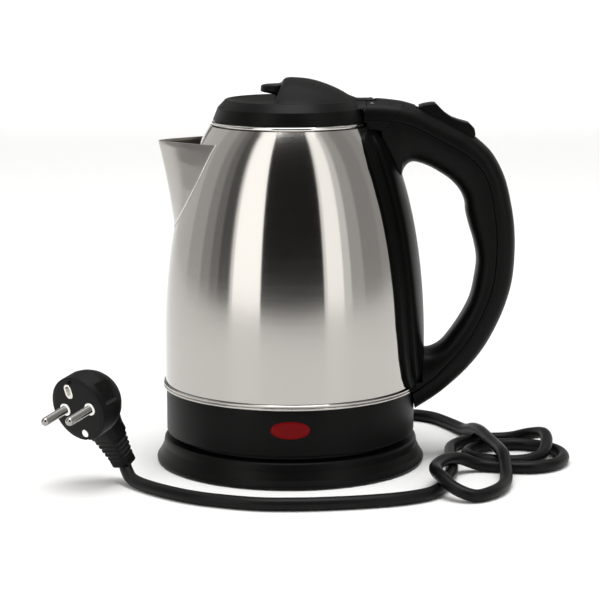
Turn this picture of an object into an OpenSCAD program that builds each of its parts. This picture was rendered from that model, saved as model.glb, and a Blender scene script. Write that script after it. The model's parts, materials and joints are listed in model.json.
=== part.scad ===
// Cordless electric kettle: steel jug with a welded spout, hinged plastic lid, loop handle
// with a rocker switch, and a round power base with its mains lead and plug.
// Millimetres. Origin on the jug's axis at table height, +Z up, spout along -X, handle along +X.

/* [Jug] */
// Outer radius of the jug at its belly
body_r = 73; // [70:0.5:76]
// Thickness of the sheet steel
wall = 0.8; // [0.5:0.1:1.2]
// Height of the jug's lower edge above the table
body_z = 48; // [46:0.5:50]
// Height at which the belly starts to draw in
belly_z = 70; // [64:1:76]
// Height of the jug's mouth
mouth_z = 199; // [194:1:204]
// How far the shoulder ellipse would draw in at its pole
shoulder_in = 48.2; // [46:0.2:50]
// Height of the shoulder ellipse above the belly
shoulder_up = 141; // [138:1:148]
// Radius of the rolled edge round the mouth
roll_r = 1.2; // [1:0.1:1.5]

/* [Spout] */
// Height of the spout's lip
spout_z = 187.6; // [184:0.2:189]
// Height of the spout's foot on the jug
spout_foot_z = 138; // [134:1:144]
// Distance of the lip's nose from the jug's axis
spout_reach = 76; // [73:0.5:78]
// Half of the spout's width where it is welded to the jug
spout_half = 30; // [27:0.5:32]

/* [Skirt] */
// Outer radius of the plastic skirt
skirt_r = 72.5; // [70:0.5:73]
// Thickness of the skirt
skirt_wall = 2.4; // [2:0.1:3]
// Height of the skirt's lower edge
skirt_z = 17.9; // [17:0.1:19]
// Outer radius of the bead ring between skirt and jug
bead_r = 74.4; // [74:0.1:76]
// Height of the bead ring
bead_h = 3.4; // [3:0.1:3.6]
// Width of the lamp window
lamp_w = 22.2; // [18:0.2:26]
// Height of the lamp window
lamp_h = 10; // [8:0.2:12]
// Height of the lamp's centre above the table
lamp_z = 33.2; // [31:0.2:35]

/* [Power base] */
// Outer radius of the base at the table
base_r = 78.6; // [77:0.2:82]
// Radius of the base's top edge
base_top_r = 73.7; // [72:0.1:75]
// Height of the base's top face
base_h = 14.8; // [14:0.1:15.6]
// Thickness of the base's shell
base_wall = 2.2; // [1.8:0.1:2.8]
// Radius of the raised power hub
hub_r = 16.5; // [15:0.1:17.5]
// Height of the hub's top above the table
hub_z = 23.5; // [22:0.1:24]
// Radius of the rubber feet
foot_r = 5; // [4:0.2:6]

/* [Handle] */
// Depth of the handle's outer shell, from its back to the parting line
shell_depth = 11.6; // [11:0.1:12]
// Thickness of the handle's shells
shell_wall = 2.4; // [2:0.1:2.8]
// Thickness of the mounting strap's rim on the jug
strap_rim = 2.2; // [1.8:0.1:2.6]
// Thickness of the mounting strap at its middle
strap_pad = 5.2; // [4.6:0.1:5.6]
// Half of the strap's greatest width
strap_half = 41; // [36:0.5:42]
// Half of the neck's width at the hinge
neck_half = 16.4; // [15:0.1:18]
// Height of the neck's top
neck_z = 211.7; // [210:0.1:213]
// Tilt of the rocker switch
rocker_tilt = 28; // [26:0.5:30]
// Width of the rocker
rocker_w = 16; // [14:0.5:17]

/* [Lid] */
// How far the lid's edge stands inside the jug's mouth
lid_over = 0.76; // [0.7:0.02:2.4]
// How far the lid's top face stands inside its edge
lid_slope = 7.2; // [5:0.1:8]
// How far the lid's side leans in over its height
lid_lean = 2.7; // [2:0.1:3.4]
// Height of the lid's side band
lid_band = 7.4; // [6:0.1:9]
// Height of the lid's chamfer above the band
lid_chamfer = 4.8; // [4:0.1:5.4]
// Height of the grip's crest above the lid's lower edge
crest_h = 24.3; // [22:0.1:26]
// Length of the finger tab in front of the crest
tab_len = 17; // [12:0.5:18]
// Thickness of the finger tab
tab_t = 4; // [3:0.1:5]
// Radius of the hinge knuckle
knuckle_r = 2.4; // [2.2:0.1:2.6]
// Radius of the hinge pin
pin_r = 1.1; // [0.9:0.1:1.2]

/* [Lead and plug] */
// Diameter of the mains lead
cord_d = 7.2; // [6.8:0.1:7.6]
// Direction in which the lead leaves the base
gland_angle = 55; // [50:1:60]
// Diameter of the plug's face
plug_d = 37.6; // [36:0.2:38.4]
// Depth of the plug's body
plug_t = 23; // [21:0.5:26]
// Diameter of the plug's pins
plug_pin_d = 4.8; // [4.7:0.05:4.9]
// Length of the plug's pins
plug_pin_l = 19; // [18:0.5:20]
// Distance between the plug's pins
plug_pitch = 19; // [18:0.5:20]

/* [Hidden] */
$fn = 96;

// Running clearances
gap = 0.2;
slide_gap = 0.4;
fit = 0.05;

black = [0.09, 0.09, 0.09];
soft_black = [0.13, 0.13, 0.13];
steel = [0.78, 0.77, 0.75];
brass = [0.80, 0.66, 0.35];

bead_z = body_z - bead_h - gap;
skirt_top_z = bead_z - gap;
mouth_r = jug_r(mouth_z - roll_r);
lid_r = mouth_r - lid_over;
lid_top_r = lid_r - lid_slope;
lid_z = mouth_z + gap;
lid_top_z = lid_z + lid_band + lid_chamfer;
hinge_x = lid_r + 2.1;
hinge_z = lid_z + 10;

// Radius of the jug's outside at a height
function jug_r(z) = z <= belly_z ? body_r
    : body_r - shoulder_in * (1 - sqrt(1 - pow((z - belly_z) / shoulder_up, 2)));

// Points up the jug's side between two heights, moved outwards by a distance
function jug_side(z0, z1, out, steps = 14) =
    [for (i = [0 : steps]) let (z = z0 + (z1 - z0) * i / steps) [jug_r(z) + out, z]];

function reversed(list) = [for (i = [len(list) - 1 : -1 : 0]) list[i]];

// Quads between neighbouring rings of equal length, with a face on each end
function ring_faces(rings, sides) = concat(
    [[for (k = [sides - 1 : -1 : 0]) k]],
    [for (i = [0 : rings - 2], k = [0 : sides - 1])
        [i * sides + k, i * sides + (k + 1) % sides,
         (i + 1) * sides + (k + 1) % sides, (i + 1) * sides + k]],
    [[for (k = [0 : sides - 1]) (rings - 1) * sides + k]]);

// A skin through a list of rings that each have the same number of points
module skin(rings) {
    polyhedron(points = [for (ring = rings, p = ring) p],
        faces = ring_faces(len(rings), len(rings[0])), convexity = 8);
}

module at_angle(angle, r, z) {
    rotate([0, 0, angle]) translate([r, 0, z]) children();
}

// ---- Power base ----

module base_cover() {
    shoulder = 1.6;
    color(black) difference() {
        union() {
            for (a = [90 : 120 : 330]) at_angle(a, screw_at_r, plate_top + gap)
                cylinder(r = 4, h = base_h - base_wall - plate_top);
            rotate_extrude() polygon([
            [hub_r + gap, base_h - base_wall], [hub_r + gap, base_h + 1.4], [hub_r + 2.4, base_h + 1.4],
            [hub_r + 4.4, base_h], [base_top_r - shoulder, base_h], [base_top_r - 0.4, base_h - 0.5],
            [base_top_r, base_h - shoulder], [base_top_r + 0.7, base_h - 5],
            [base_r - 2.2, 5.4], [base_r - 0.6, 3.4], [base_r, 2], [base_r - 0.4, 0.8],
            [base_r - base_wall, 0.6], [base_r - base_wall, 2.2],
            [base_r - base_wall - 2.2, 5.6], [base_top_r - base_wall + 0.6, base_h - 5],
            [base_top_r - base_wall - 1, base_h - base_wall]]);
        }
        for (a = [90 : 120 : 330]) at_angle(a, screw_at_r, 0) cylinder(r = 1.67, h = base_h - base_wall);
        at_angle(gland_angle, base_r - 12, gland_z) rotate([0, 90, 0]) cylinder(r = gland_r + gap, h = 20);
    }
}

plate_r = base_r - base_wall - gap;
plate_top = 2.1;
feet_at_r = base_r - 17;

// Underside of the base with the hub that the spare lead winds round
module base_plate() {
    color(soft_black) difference() {
        union() {
            translate([0, 0, 0.8]) cylinder(r = plate_r, h = plate_top - 0.8);
            rotate_extrude() polygon([[0, 0], [34, 0], [36, 0.8], [36, 3], [0, 3]]);
            for (a = [0 : 60 : 300]) rotate([0, 0, a]) translate([34, -1, 1]) cube([30, 2, 3.4]);
        }
        for (a = [0 : 90 : 270]) at_angle(a + 45, feet_at_r, -1) cylinder(r = foot_r + gap, h = 2.4);
        for (a = [90 : 120 : 330]) at_angle(a, screw_at_r, -1) cylinder(r = 1.7, h = base_h);
        for (a = [90 : 120 : 330]) at_angle(a, screw_at_r, -1) cylinder(r = 3.2, h = 2.4);
    }
}

screw_at_r = 44;

module base_feet() {
    color([0.2, 0.2, 0.2]) for (a = [0 : 90 : 270])
        at_angle(a + 45, feet_at_r, 0) cylinder(r = foot_r, h = 1.4 - fit);
}

module screw(shaft_r, head_r, shaft_l, head_l) {
    difference() {
        union() {
            cylinder(r = head_r, h = head_l);
            cylinder(r = shaft_r, h = head_l + shaft_l);
        }
        for (a = [0, 90]) rotate([0, 0, a])
            translate([-head_r * 0.55, -0.35, -0.1]) cube([head_r * 1.1, 0.7, 0.9]);
    }
}

module base_screws() {
    color(steel) for (a = [90 : 120 : 330])
        at_angle(a, screw_at_r, 0.35) screw(1.65, 3, 8, 1);
}

// Groove in the hub that takes the jug's ring contact, and the hole for its centre pin
groove_in = 8.4;
groove_out = 11;
centre_hole_r = 2.9;

module power_hub() {
    color(black) difference() {
        union() {
            translate([0, 0, 3.1]) cylinder(r = hub_r, h = hub_z - 3.1);
            translate([0, 0, 3.1]) cylinder(r = hub_r + 5, h = base_h - base_wall - 3.3);
        }
        translate([0, 0, 12]) rotate_extrude()
            translate([groove_in, 0]) square([groove_out - groove_in, hub_z]);
        translate([0, 0, 10]) cylinder(r = centre_hole_r, h = hub_z);
        for (a = [0 : 120 : 240]) rotate([0, 0, a]) translate([12.4, -1.4, 14]) cube([1.6, 2.8, hub_z]);
    }
}

module hub_contacts() {
    color(brass) {
        translate([0, 0, 12 + fit]) rotate_extrude()
            translate([groove_in + fit, 0]) square([groove_out - groove_in - 2 * fit, 1]);
        translate([0, 0, 10 + fit]) cylinder(r = centre_hole_r - fit, h = 1);
        for (a = [0 : 120 : 240]) rotate([0, 0, a])
            translate([12.4 + fit, -1.2, 14 + fit]) cube([0.8, 2.4, hub_z - 15]);
    }
}

// ---- Mains lead ----

gland_r = 4.4;
gland_z = plate_top + gland_r + 0.7;
gland_tip = base_r + 15;

module cord_gland() {
    tip_r = cord_d / 2 + 0.5;
    start = base_r - 9;
    length = gland_tip - start;
    color(black) at_angle(gland_angle, start, gland_z) rotate([0, 90, 0]) difference() {
        rotate_extrude() polygon([[0, 0], [gland_r + 0.6, 0], [gland_r + 0.6, 3],
            [gland_r, 3.2], [gland_r, 10], [gland_r - 0.05, length * 0.55], [tip_r, length], [0, length]]);
        for (i = [0 : 3]) translate([0, 0, 12.4 + i * 2.8]) rotate_extrude()
            translate([tip_r - 0.6, 0]) square([3, 1]);
    }
}

// The plug's pins point along its own +X; its boot leaves downwards, leaning back
plug_at = [-117.5, -76.3, 46.4];
plug_turn = [9, 13, 233.2];
boot_from = [-16.5, 0, -20];
boot_lean = 14;
boot_neck = 3;
boot_l = 23;

function turn_x(p, a) = [p.x, p.y * cos(a) - p.z * sin(a), p.y * sin(a) + p.z * cos(a)];
function turn_y(p, a) = [p.x * cos(a) + p.z * sin(a), p.y, -p.x * sin(a) + p.z * cos(a)];
function turn_z(p, a) = [p.x * cos(a) - p.y * sin(a), p.x * sin(a) + p.y * cos(a), p.z];
boot_tip = boot_from - boot_l * [sin(boot_lean), 0, cos(boot_lean)];
boot_end = plug_at + turn_z(turn_y(turn_x(boot_tip, plug_turn.x), plug_turn.y), plug_turn.z);

cord_r = cord_d / 2;
floor_z = cord_r + 0.1;
over_z = floor_z + cord_d + 0.1;
gland_end = [gland_tip * cos(gland_angle), gland_tip * sin(gland_angle), gland_z];

// Route of the lead: out of the base, through its loose knot, past the front and to the plug
cord_route = [
    gland_end, [61, 85, 4.6], [69, 90, floor_z], [80, 90, floor_z], [91, 82, floor_z],
    [100, 66, floor_z], [107, 48, 4.6], [111, 32, 9], [114, 16, over_z], [117, -2, over_z],
    [120, -20, over_z], [122, -38, over_z], [122, -54, 7], [120, -72, floor_z],
    [113, -90, floor_z], [101, -101, floor_z], [90, -98, 7], [83, -87, over_z],
    [81, -69, over_z], [87, -52, over_z], [97, -40, over_z - 2], [109, -36, 4.2],
    [125, -39, floor_z], [140, -40, floor_z], [152, -33, floor_z], [159, -19, floor_z],
    [158, -3, floor_z], [149, 9, floor_z], [136, 14, floor_z], [121, 12, floor_z],
    [109, 4, floor_z], [104, -8, floor_z], [108, -19, floor_z], [120, -25, floor_z],
    [134, -25, floor_z], [146, -18, 5], [151, -4, 9], [151, 11, over_z], [144, 23, 8],
    [132, 28, 4.2], [117, 27, floor_z], [104, 20, floor_z], [96, 8, floor_z],
    [94, -10, floor_z], [93, -28, floor_z], [92, -46, floor_z], [88, -64, floor_z],
    [84, -82, floor_z], [76, -96, floor_z], [62, -105, floor_z], [44, -111, floor_z],
    [24, -115, floor_z], [4, -117, floor_z], [-18, -116, floor_z], [-40, -109, floor_z],
    [-55, -101, floor_z], [-67, -90, floor_z], [-77, -77, floor_z], [-84, -66, floor_z],
    boot_end + [3.4, -6.6, -7], boot_end + [1.2, -1.6, -4], boot_end];

function unit(v) = v / norm(v);

function cord_ring(i, sides) = let (
    last = len(cord_route) - 1,
    ahead = unit(cord_route[min(i + 1, last)] - cord_route[max(i - 1, 0)]),
    side = unit(cross(ahead, [0, 0, 1])),
    up = cross(side, ahead))
    [for (k = [0 : sides - 1]) cord_route[i]
        + cord_r * cos(360 * k / sides) * side + cord_r * sin(360 * k / sides) * up];

module cord() {
    color(black) skin([for (i = [0 : len(cord_route) - 1]) cord_ring(i, 10)]);
}

// ---- Plug ----

pin_root_r = 2;

module plug_place() {
    translate(plug_at) rotate(plug_turn) children();
}

module boot_place() {
    plug_place() translate(boot_from) rotate([180, 0, 0]) rotate([0, -boot_lean, 0]) children();
}

// Block with rounded sides, along +Z
module rounded_block(x, y, r, z0, z1) {
    translate([0, 0, z0]) linear_extrude(z1 - z0) hull()
        for (i = [-1, 1], j = [-1, 1]) translate([i * (x / 2 - r), j * (y / 2 - r)]) circle(r = r, $fn = 32);
}

earth_at = [-3, 10.6];
key_z = -plug_d / 2 + 4.2;

module earth_outline(grow) {
    hull() for (s = [-1, 1]) translate([0, s * 1.6]) circle(r = 2.6 + grow, $fn = 40);
}

// Contact for the socket's earth pin, seen along the pins
module earth_place(depth) {
    translate([-depth, earth_at.x, earth_at.y]) rotate([90, 0, 90]) children();
}

module plug_body() {
    r = plug_d / 2;
    color(black) difference() {
        union() {
            plug_place() rotate([0, -90, 0]) rotate_extrude() polygon([[0, 0], [r - 0.8, 0], [r, 0.8],
                [r, plug_t - 12], [r - 1, plug_t - 8], [r - 3, plug_t - 4], [r - 6.4, plug_t], [0, plug_t]]);
            boot_place() rounded_block(14, 20, 4, -12, boot_neck);
        }
        plug_place() {
            for (s = [-1, 1]) translate([-10, s * plug_pitch / 2, 0]) rotate([0, 90, 0]) {
                cylinder(r = pin_root_r + 0.02, h = 12);
                translate([0, 0, 9]) cylinder(r = collar_r + fit, h = 4);
            }
            earth_place(8) linear_extrude(9) earth_outline(fit);
            translate([-3, 0, r - 2.6]) rotate([0, 90, 0]) cylinder(r = 1.4, h = 4);
            translate([-6, 0, key_z]) rotate([0, 90, 0]) cylinder(r = 2, h = 7);
            translate([-6, -0.9, -r - 1]) cube([7, 1.8, r + key_z + 1]);
            for (s = [-1, 1]) translate([-15.5, s * (r - 1) - 2.2, 1]) cube([10.5, 4.4, 12]);
        }
    }
}

boot_ribs = 5;

module plug_boot() {
    first = boot_neck + fit;
    pitch = (boot_l - first - 5) / boot_ribs;
    color(black) boot_place() {
        rounded_block(8.6, 10.4, 3, first, boot_l - 2);
        for (i = [0 : boot_ribs - 1]) rounded_block(12 - i * 0.5, 17 - i * 0.9, 2.4,
            first + i * pitch + (i == 0 ? 0 : 1.2), first + (i + 1) * pitch);
        rounded_block(10, 12.6, 2.4, boot_l - 5.4, boot_l);
    }
}

collar_r = 3.4;

module plug_pins() {
    r = plug_pin_d / 2;
    tip = 9.8 + plug_pin_l - r;
    color(steel) plug_place() for (s = [-1, 1]) translate([-9.8, s * plug_pitch / 2, 0])
        rotate([0, 90, 0]) rotate_extrude() polygon(concat(
            [[0, 0], [pin_root_r, 0], [pin_root_r, 8.9], [collar_r, 8.9], [collar_r, 9.7], [r, 9.7]],
            [for (a = [0 : 15 : 75]) [r * cos(a), tip + r * sin(a)]], [[0, tip + r]]));
}

module plug_earth_clips() {
    color(steel) plug_place() {
        earth_place(7.9) difference() {
            linear_extrude(7.8) earth_outline(0);
            translate([0, 0, 0.8]) linear_extrude(9) earth_outline(-0.8);
        }
        translate([-5.9, 0, key_z]) rotate([0, 90, 0]) cylinder(r = 1.95, h = 5.4);
    }
}

// ---- Jug ----

// Window behind the spout, seen along X
module spout_window() {
    top = spout_z - 4;
    half = spout_half - 6;
    translate([-body_r - 10, 0, 0]) rotate([90, 0, 90]) linear_extrude(body_r - 20)
        polygon([[-3, spout_foot_z + 14], [3, spout_foot_z + 14], [half - 5, top - 13],
            [half, top - 3], [half - 3, top], [3 - half, top], [-half, top - 3], [5 - half, top - 13]]);
}

module steel_jug() {
    top = mouth_z - 2 * roll_r - fit;
    color(steel) difference() {
        rotate_extrude() polygon(concat(
            [[body_r, body_z]], jug_side(belly_z, top, 0, 22),
            reversed(jug_side(belly_z, top, -wall, 22)), [[body_r - wall, body_z]]));
        spout_window();
        for (z = strap_screw_z) translate([10, 0, z]) rotate([0, 90, 0]) cylinder(r = screw_hole_r, h = body_r);
    }
}

module mouth_ring() {
    color(steel) rotate_extrude() translate([mouth_r - wall / 2 - 0.5, mouth_z - roll_r]) circle(r = roll_r, $fn = 24);
}

// Half-width of the spout's seam at a height: an ellipse that closes at the foot
function seam_half(z) = let (
    mid = spout_foot_z + 41,
    t = min(1, max(0, (mid - z) / (mid - spout_foot_z))))
    spout_half * sqrt(1 - t * t);

// Distance of the spout's nose from the axis at a height
function nose_x(z) = let (
    t = (z - spout_foot_z) / (spout_z - spout_foot_z),
    foot = jug_r(spout_foot_z) + 0.1)
    foot + (spout_reach - foot) * (0.62 * t + 0.38 * t * t);

// One level section of the spout, drawn in by a wall thickness, closed inside the jug
function spout_ring(z, inset, lift = 0, steps = 14) = let (
    half = max(0.5, seam_half(z) - inset * 1.2),
    root = sqrt(pow(jug_r(z), 2) - half * half),
    nose = max(nose_x(z) - inset, root + 0.02),
    weight = 4.5,
    apex = (nose * (1 + weight) - root) / weight)
    concat(
        [for (i = [0 : steps]) let (t = i / steps,
            a = (1 - t) * (1 - t), b = 2 * weight * t * (1 - t), c = t * t, s = a + b + c)
            [-(a * root + b * apex + c * root) / s, (a * half - c * half) / s, z + lift]],
        [[-root + 4, -half, z + lift], [-root + 4, half, z + lift]]);

module spout() {
    levels = 12;
    step = (spout_z - spout_foot_z) / levels;
    color(steel) difference() {
        skin([for (i = [levels : -1 : 0]) spout_ring(spout_foot_z + i * step, 0)]);
        skin([for (i = [levels : -1 : 1]) spout_ring(spout_foot_z + i * step, wall, i == levels ? 1 : 0)]);
        rotate_extrude() polygon(concat([[0, spout_foot_z - 10]],
            jug_side(spout_foot_z - 10, spout_z + 10, 0.02, 22), [[0, spout_z + 10]]));
    }
}

// Strainer that clips in behind the window
module spout_filter() {
    hole = 2.2;
    color([0.82, 0.82, 0.8]) difference() {
        intersection() {
            rotate_extrude() polygon(concat(
                jug_side(spout_foot_z + 8, spout_z - 1, -wall - gap, 10),
                reversed(jug_side(spout_foot_z + 8, spout_z - 1, -wall - gap - 1.4, 10))));
            translate([-body_r, -spout_half + 3, spout_foot_z + 8]) cube([body_r, 2 * spout_half - 6, 60]);
        }
        for (row = [0 : 5], col = [-3 : 3])
            translate([-body_r, col * 5.6, spout_foot_z + 16 + row * 5.4]) rotate([0, 90, 0])
                cylinder(r = hole / 2 + 0.5, h = body_r - 20, $fn = 16);
    }
}

module bead_ring() {
    groove = 0.5;
    color(steel) rotate_extrude() polygon([
        [skirt_r - 4, bead_z], [bead_r - groove, bead_z], [bead_r, bead_z + 0.4],
        [bead_r, bead_z + 1.2], [bead_r - groove, bead_z + 1.5], [bead_r, bead_z + 1.8],
        [bead_r, bead_z + bead_h - 0.5], [bead_r - groove, bead_z + bead_h],
        [skirt_r - 4, bead_z + bead_h]]);
}

module lamp_outline(w, h) {
    translate([-(w - h) / 2, 0]) circle(r = h / 2);
    translate([(w - h) / 2, 0]) circle(r = h / 2);
    square([w - h, h], center = true);
}

module lamp_bar(w, h, r0, r1) {
    translate([0, -r0, lamp_z]) rotate([90, 0, 0]) linear_extrude(r1 - r0) lamp_outline(w, h);
}

module skirt() {
    color(black) difference() {
        rotate_extrude() polygon([[skirt_r - 0.6, skirt_z], [skirt_r, skirt_z + 0.8],
            [skirt_r, skirt_top_z], [skirt_r - skirt_wall, skirt_top_z],
            [skirt_r - skirt_wall, skirt_z]]);
        lamp_bar(lamp_w + gap, lamp_h + gap, skirt_r - 8, skirt_r + 2);
        translate([skirt_r - 6, 0, wire_z]) rotate([0, 90, 0]) cylinder(r = 4, h = 12);
    }
}

wire_z = 38;

// Closes the skirt from below and stands on the base
module skirt_bottom() {
    inner = skirt_r - skirt_wall - gap;
    stand = base_h + gap;
    well = hub_r + 1.6;
    color(soft_black) difference() {
        rotate_extrude() polygon([[well, skirt_z - 0.8], [well + 8.4, skirt_z - 0.8], [inner - 13, skirt_z - 0.8],
            [inner - 13, stand], [inner - 4, stand], [inner - 4, skirt_z], [inner, skirt_z],
            [inner, skirt_z + 2.4], [well + 2, skirt_z + 2.4], [well + 2, hub_z + 0.6], [well, hub_z + 0.6]]);
        for (a = [60 : 120 : 300]) at_angle(a, bottom_screw_r, 0) cylinder(r = 1.6, h = 40);
        for (a = [60 : 120 : 300]) at_angle(a, bottom_screw_r, 0) cylinder(r = 3, h = skirt_z + 0.8);
    }
}

bottom_screw_r = 50;

module bottom_screws() {
    color(steel) for (a = [60 : 120 : 300])
        at_angle(a, bottom_screw_r, skirt_z - 0.7) screw(1.55, 2.8, 8, 1.4);
}

plate_z = body_z + 3;

module heating_plate() {
    r = body_r - wall - fit;
    color(steel) rotate_extrude() polygon([[0, plate_z], [r - 3, plate_z], [r - 2, plate_z - 0.4],
        [r - 1.2, body_z], [r, body_z], [r, plate_z], [r - 1, plate_z + 1], [0, plate_z + 1]]);
}

spreader_t = 1.6;
element_r = 3.4;
element_ring_r = 34;
element_z = plate_z - spreader_t - element_r - 3 * fit;

module heat_spreader() {
    color([0.85, 0.85, 0.86]) translate([0, 0, plate_z - spreader_t - fit]) difference() {
        cylinder(r = 56, h = spreader_t);
        translate([0, 0, -1]) cylinder(r = 2, h = 4);
    }
}

// Ring element with its two cold ends
module heating_element() {
    open = 34;
    color([0.5, 0.5, 0.5]) {
        rotate([0, 0, open / 2]) translate([0, 0, element_z]) rotate_extrude(angle = 360 - open)
            translate([element_ring_r, 0]) circle(r = element_r, $fn = 24);
        for (s = [-1, 1]) rotate([0, 0, s * (open / 2 + 5)]) translate([element_ring_r, 0, element_z - 9]) {
            cylinder(r = 2.2, h = 8.6);
            translate([0, 0, -4]) cylinder(r = 1, h = 5);
        }
    }
}

contact_z = hub_z + 0.8;

// Control block under the spreader: bimetal discs above, contact carrier below
module thermostat() {
    top = plate_z - spreader_t - 4 * fit;
    color([0.92, 0.92, 0.9]) difference() {
        union() {
            translate([0, 0, contact_z + 1]) cylinder(r = hub_r + 1.2, h = 9);
            translate([-16, -20, contact_z + 10]) cube([32, 40, 6]);
            translate([0, 0, contact_z + 16]) cylinder(r = 14, h = 3);
            for (s = [-1, 1]) translate([s * 12, s * 12, contact_z + 16]) cylinder(r = 3, h = top - contact_z - 16);
        }
        translate([0, 0, contact_z + 0.9]) cylinder(r = centre_hole_r + 2, h = 5);
    }
}

module jug_contacts() {
    color(brass) {
        translate([0, 0, 15]) cylinder(r = 2.2, h = contact_z + 5.8 - 15);
        translate([0, 0, 15]) rotate_extrude()
            translate([groove_in + 0.8, 0]) square([groove_out - groove_in - 1.6, contact_z + 1 - 15]);
    }
}

module lamp_lens() {
    color([0.42, 0.03, 0.04]) intersection() {
        lamp_bar(lamp_w, lamp_h, skirt_r - 4, skirt_r + 3);
        rotate_extrude() translate([skirt_r - 3, 0]) square([3.6, 60]);
    }
}

module lamp_holder() {
    color([0.9, 0.9, 0.88]) difference() {
        lamp_bar(lamp_w + 3, lamp_h + 3, skirt_r - 10, skirt_r - skirt_wall - 1.7);
        lamp_bar(lamp_w - 3, lamp_h - 3, skirt_r - 11, skirt_r);
    }
    color([0.95, 0.5, 0.2]) for (s = [-1, 1]) translate([s * 5, -skirt_r + skirt_wall + 2, lamp_z])
        rotate([-90, 0, 0]) cylinder(r = lamp_h / 2 - 1.7, h = 5);
}

// ---- Handle ----

// Strap outline seen along X: narrow at the mouth, widest at the belly
module strap_outline(inset) {
    half = strap_half - inset;
    side = [[half * 0.74, body_z + 0.2], [half * 0.84, body_z + 6], [half * 0.93, body_z + 18],
        [half, body_z + 38], [half, body_z + 68], [half * 0.98, body_z + 90], [half * 0.94, body_z + 112],
        [half * 0.88, body_z + 128], [half * 0.8, body_z + 137], [half * 0.7, body_z + 144],
        [half * 0.5, body_z + 149]];
    polygon(concat(side, reversed([for (p = side) [-p.x, p.y]])));
}

strap_top = mouth_z - 2 * roll_r - 2;

module strap_layer(thickness, inset, z0) {
    intersection() {
        rotate_extrude() polygon(concat(jug_side(z0, strap_top, gap / 2, 18),
            reversed(jug_side(z0, strap_top, thickness, 18))));
        translate([10, 0, 0]) rotate([90, 0, 90]) linear_extrude(body_r + 10) strap_outline(inset);
    }
}

module handle_strap() {
    color(black) difference() {
        union() {
            strap_layer(strap_rim, 0, body_z + 0.1);
            strap_layer(strap_rim + (strap_pad - strap_rim) * 0.6, 3.6, body_z + 0.1);
            strap_layer(strap_pad, 10, body_z + 0.1);
        }
        for (z = strap_screw_z) translate([10, 0, z]) rotate([0, 90, 0])
            cylinder(r = screw_hole_r, h = jug_r(z) + strap_pad - 11);
    }
}

strap_screw_z = [body_z + 12, mouth_z - 12];
screw_hole_r = 1.6;

module handle_screws() {
    back = 4;
    color(steel) for (z = strap_screw_z)
        translate([jug_r(z) - wall - back, 0, z]) rotate([0, 90, 0])
            screw(screw_hole_r - 0.1, 2.6, back + strap_pad - 2, 1.4);
}

// Stations round the handle: outer point, inner point (both X, Z) and half-width
grip = [
    [50, 211, 50, 186, 16.4], [60.4, 210.6, 57, 174, 16], [66, 209.6, 64, 171.5, 15.6],
    [74, 207, 70.5, 175.2, 15.2], [83.5, 202.4, 78, 173.6, 14.8], [93, 197.4, 86, 169.4, 14.4],
    [102.5, 192.5, 92.8, 164.6, 14.2], [110.5, 186.5, 98, 158.7, 14], [117.6, 178.8, 100.8, 152.4, 14],
    [124, 166, 101.6, 146, 14], [128, 150, 103.6, 138, 14], [130, 136, 106.3, 129.4, 14],
    [130.3, 121, 108.2, 118.6, 13.8], [129, 106, 107, 107, 13.6], [125.5, 92.5, 104.6, 96, 13.6],
    [120, 79, 99.8, 86, 13.6], [112.5, 65.6, 93.6, 76.4, 13.8], [103, 53.8, 88, 69.6, 14.4],
    [92, 43.6, 82, 66.2, 15.2], [82.6, 36.6, 76, 66, 16.2], [73, 30.6, 66, 68, 17.4]];

// Smooth value between four neighbours
function between(a, b, c, d, t) = 0.5 * (2 * b + (c - a) * t
    + (2 * a - 5 * b + 4 * c - d) * t * t + (3 * b - a - 3 * c + d) * t * t * t);

// Radius of the jug that the stations are laid out for
grip_body_r = 73;
grip_out = body_r - grip_body_r;
grip_steps = 2;
grip_fine = [for (i = [0 : len(grip) - 2], s = [0 : grip_steps - (i == len(grip) - 2 ? 0 : 1)])
    [grip_out, 0, grip_out, 0, 0]
        + between(grip[max(i - 1, 0)], grip[i], grip[i + 1], grip[min(i + 2, len(grip) - 1)], s / grip_steps)];

// Quarter-rounded arch of a given half-width and depth, as pairs of depth and Y
function arch(half, depth, steps = 10) = [for (i = [0 : steps]) let (
    a = -90 + 180 * i / steps, power = 0.72)
    [depth * pow(abs(cos(a)), power), half * sign(a) * pow(abs(sin(a)), power)]];

// Hollow half of the grip at one station: side 1 is the outer shell, -1 the inner shell
function grip_ring(s, side) = let (
    outer = [s[0], 0, s[1]],
    inner = [s[2], 0, s[3]],
    span = norm(outer - inner),
    n = (outer - inner) / span,
    depth = (side > 0 ? shell_depth : span - shell_depth) - gap / 2,
    start = outer - n * (shell_depth - side * gap / 2),
    skin_out = arch(s[4], depth),
    skin_in = reversed(arch(s[4] - shell_wall, depth - shell_wall)))
    [for (p = concat(skin_out, skin_in)) start + n * side * p.x + [0, p.y, 0]];

// Space taken by the strap, the bead and the skirt, as plain cylinders and cones
module jug_space() {
    out = strap_pad + gap;
    levels = [belly_z, 112, 150, 176, strap_top + 2];
    translate([0, 0, skirt_z]) cylinder(r = skirt_r + gap, h = body_z);
    translate([0, 0, bead_z - gap]) cylinder(r = bead_r + gap, h = bead_h + 4);
    translate([0, 0, body_z]) cylinder(r = body_r + out, h = belly_z - body_z);
    for (i = [0 : len(levels) - 2]) translate([0, 0, levels[i]])
        cylinder(r1 = jug_r(levels[i]) + out + (i > 0 ? 0.4 : 0),
            r2 = jug_r(levels[i + 1]) + out + 0.4, h = levels[i + 1] - levels[i]);
}

neck_end = lid_r + 15.6;

module handle_inner() {
    color(black) difference() {
        skin([for (s = reversed(grip_fine)) grip_ring(s, -1)]);
        jug_space();
        translate([0, -30, strap_top + 1.8]) cube([neck_end + gap, 60, 40]);
    }
}

// Rocker's pivot and its own axes: X along the handle's back, Z out of it
rocker_at = [88.1 + grip_out, 0, 192];

module rocker_place() {
    translate(rocker_at) rotate([0, rocker_tilt, 0]) children();
}

slot_half = rocker_w / 2 + slide_gap;

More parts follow.
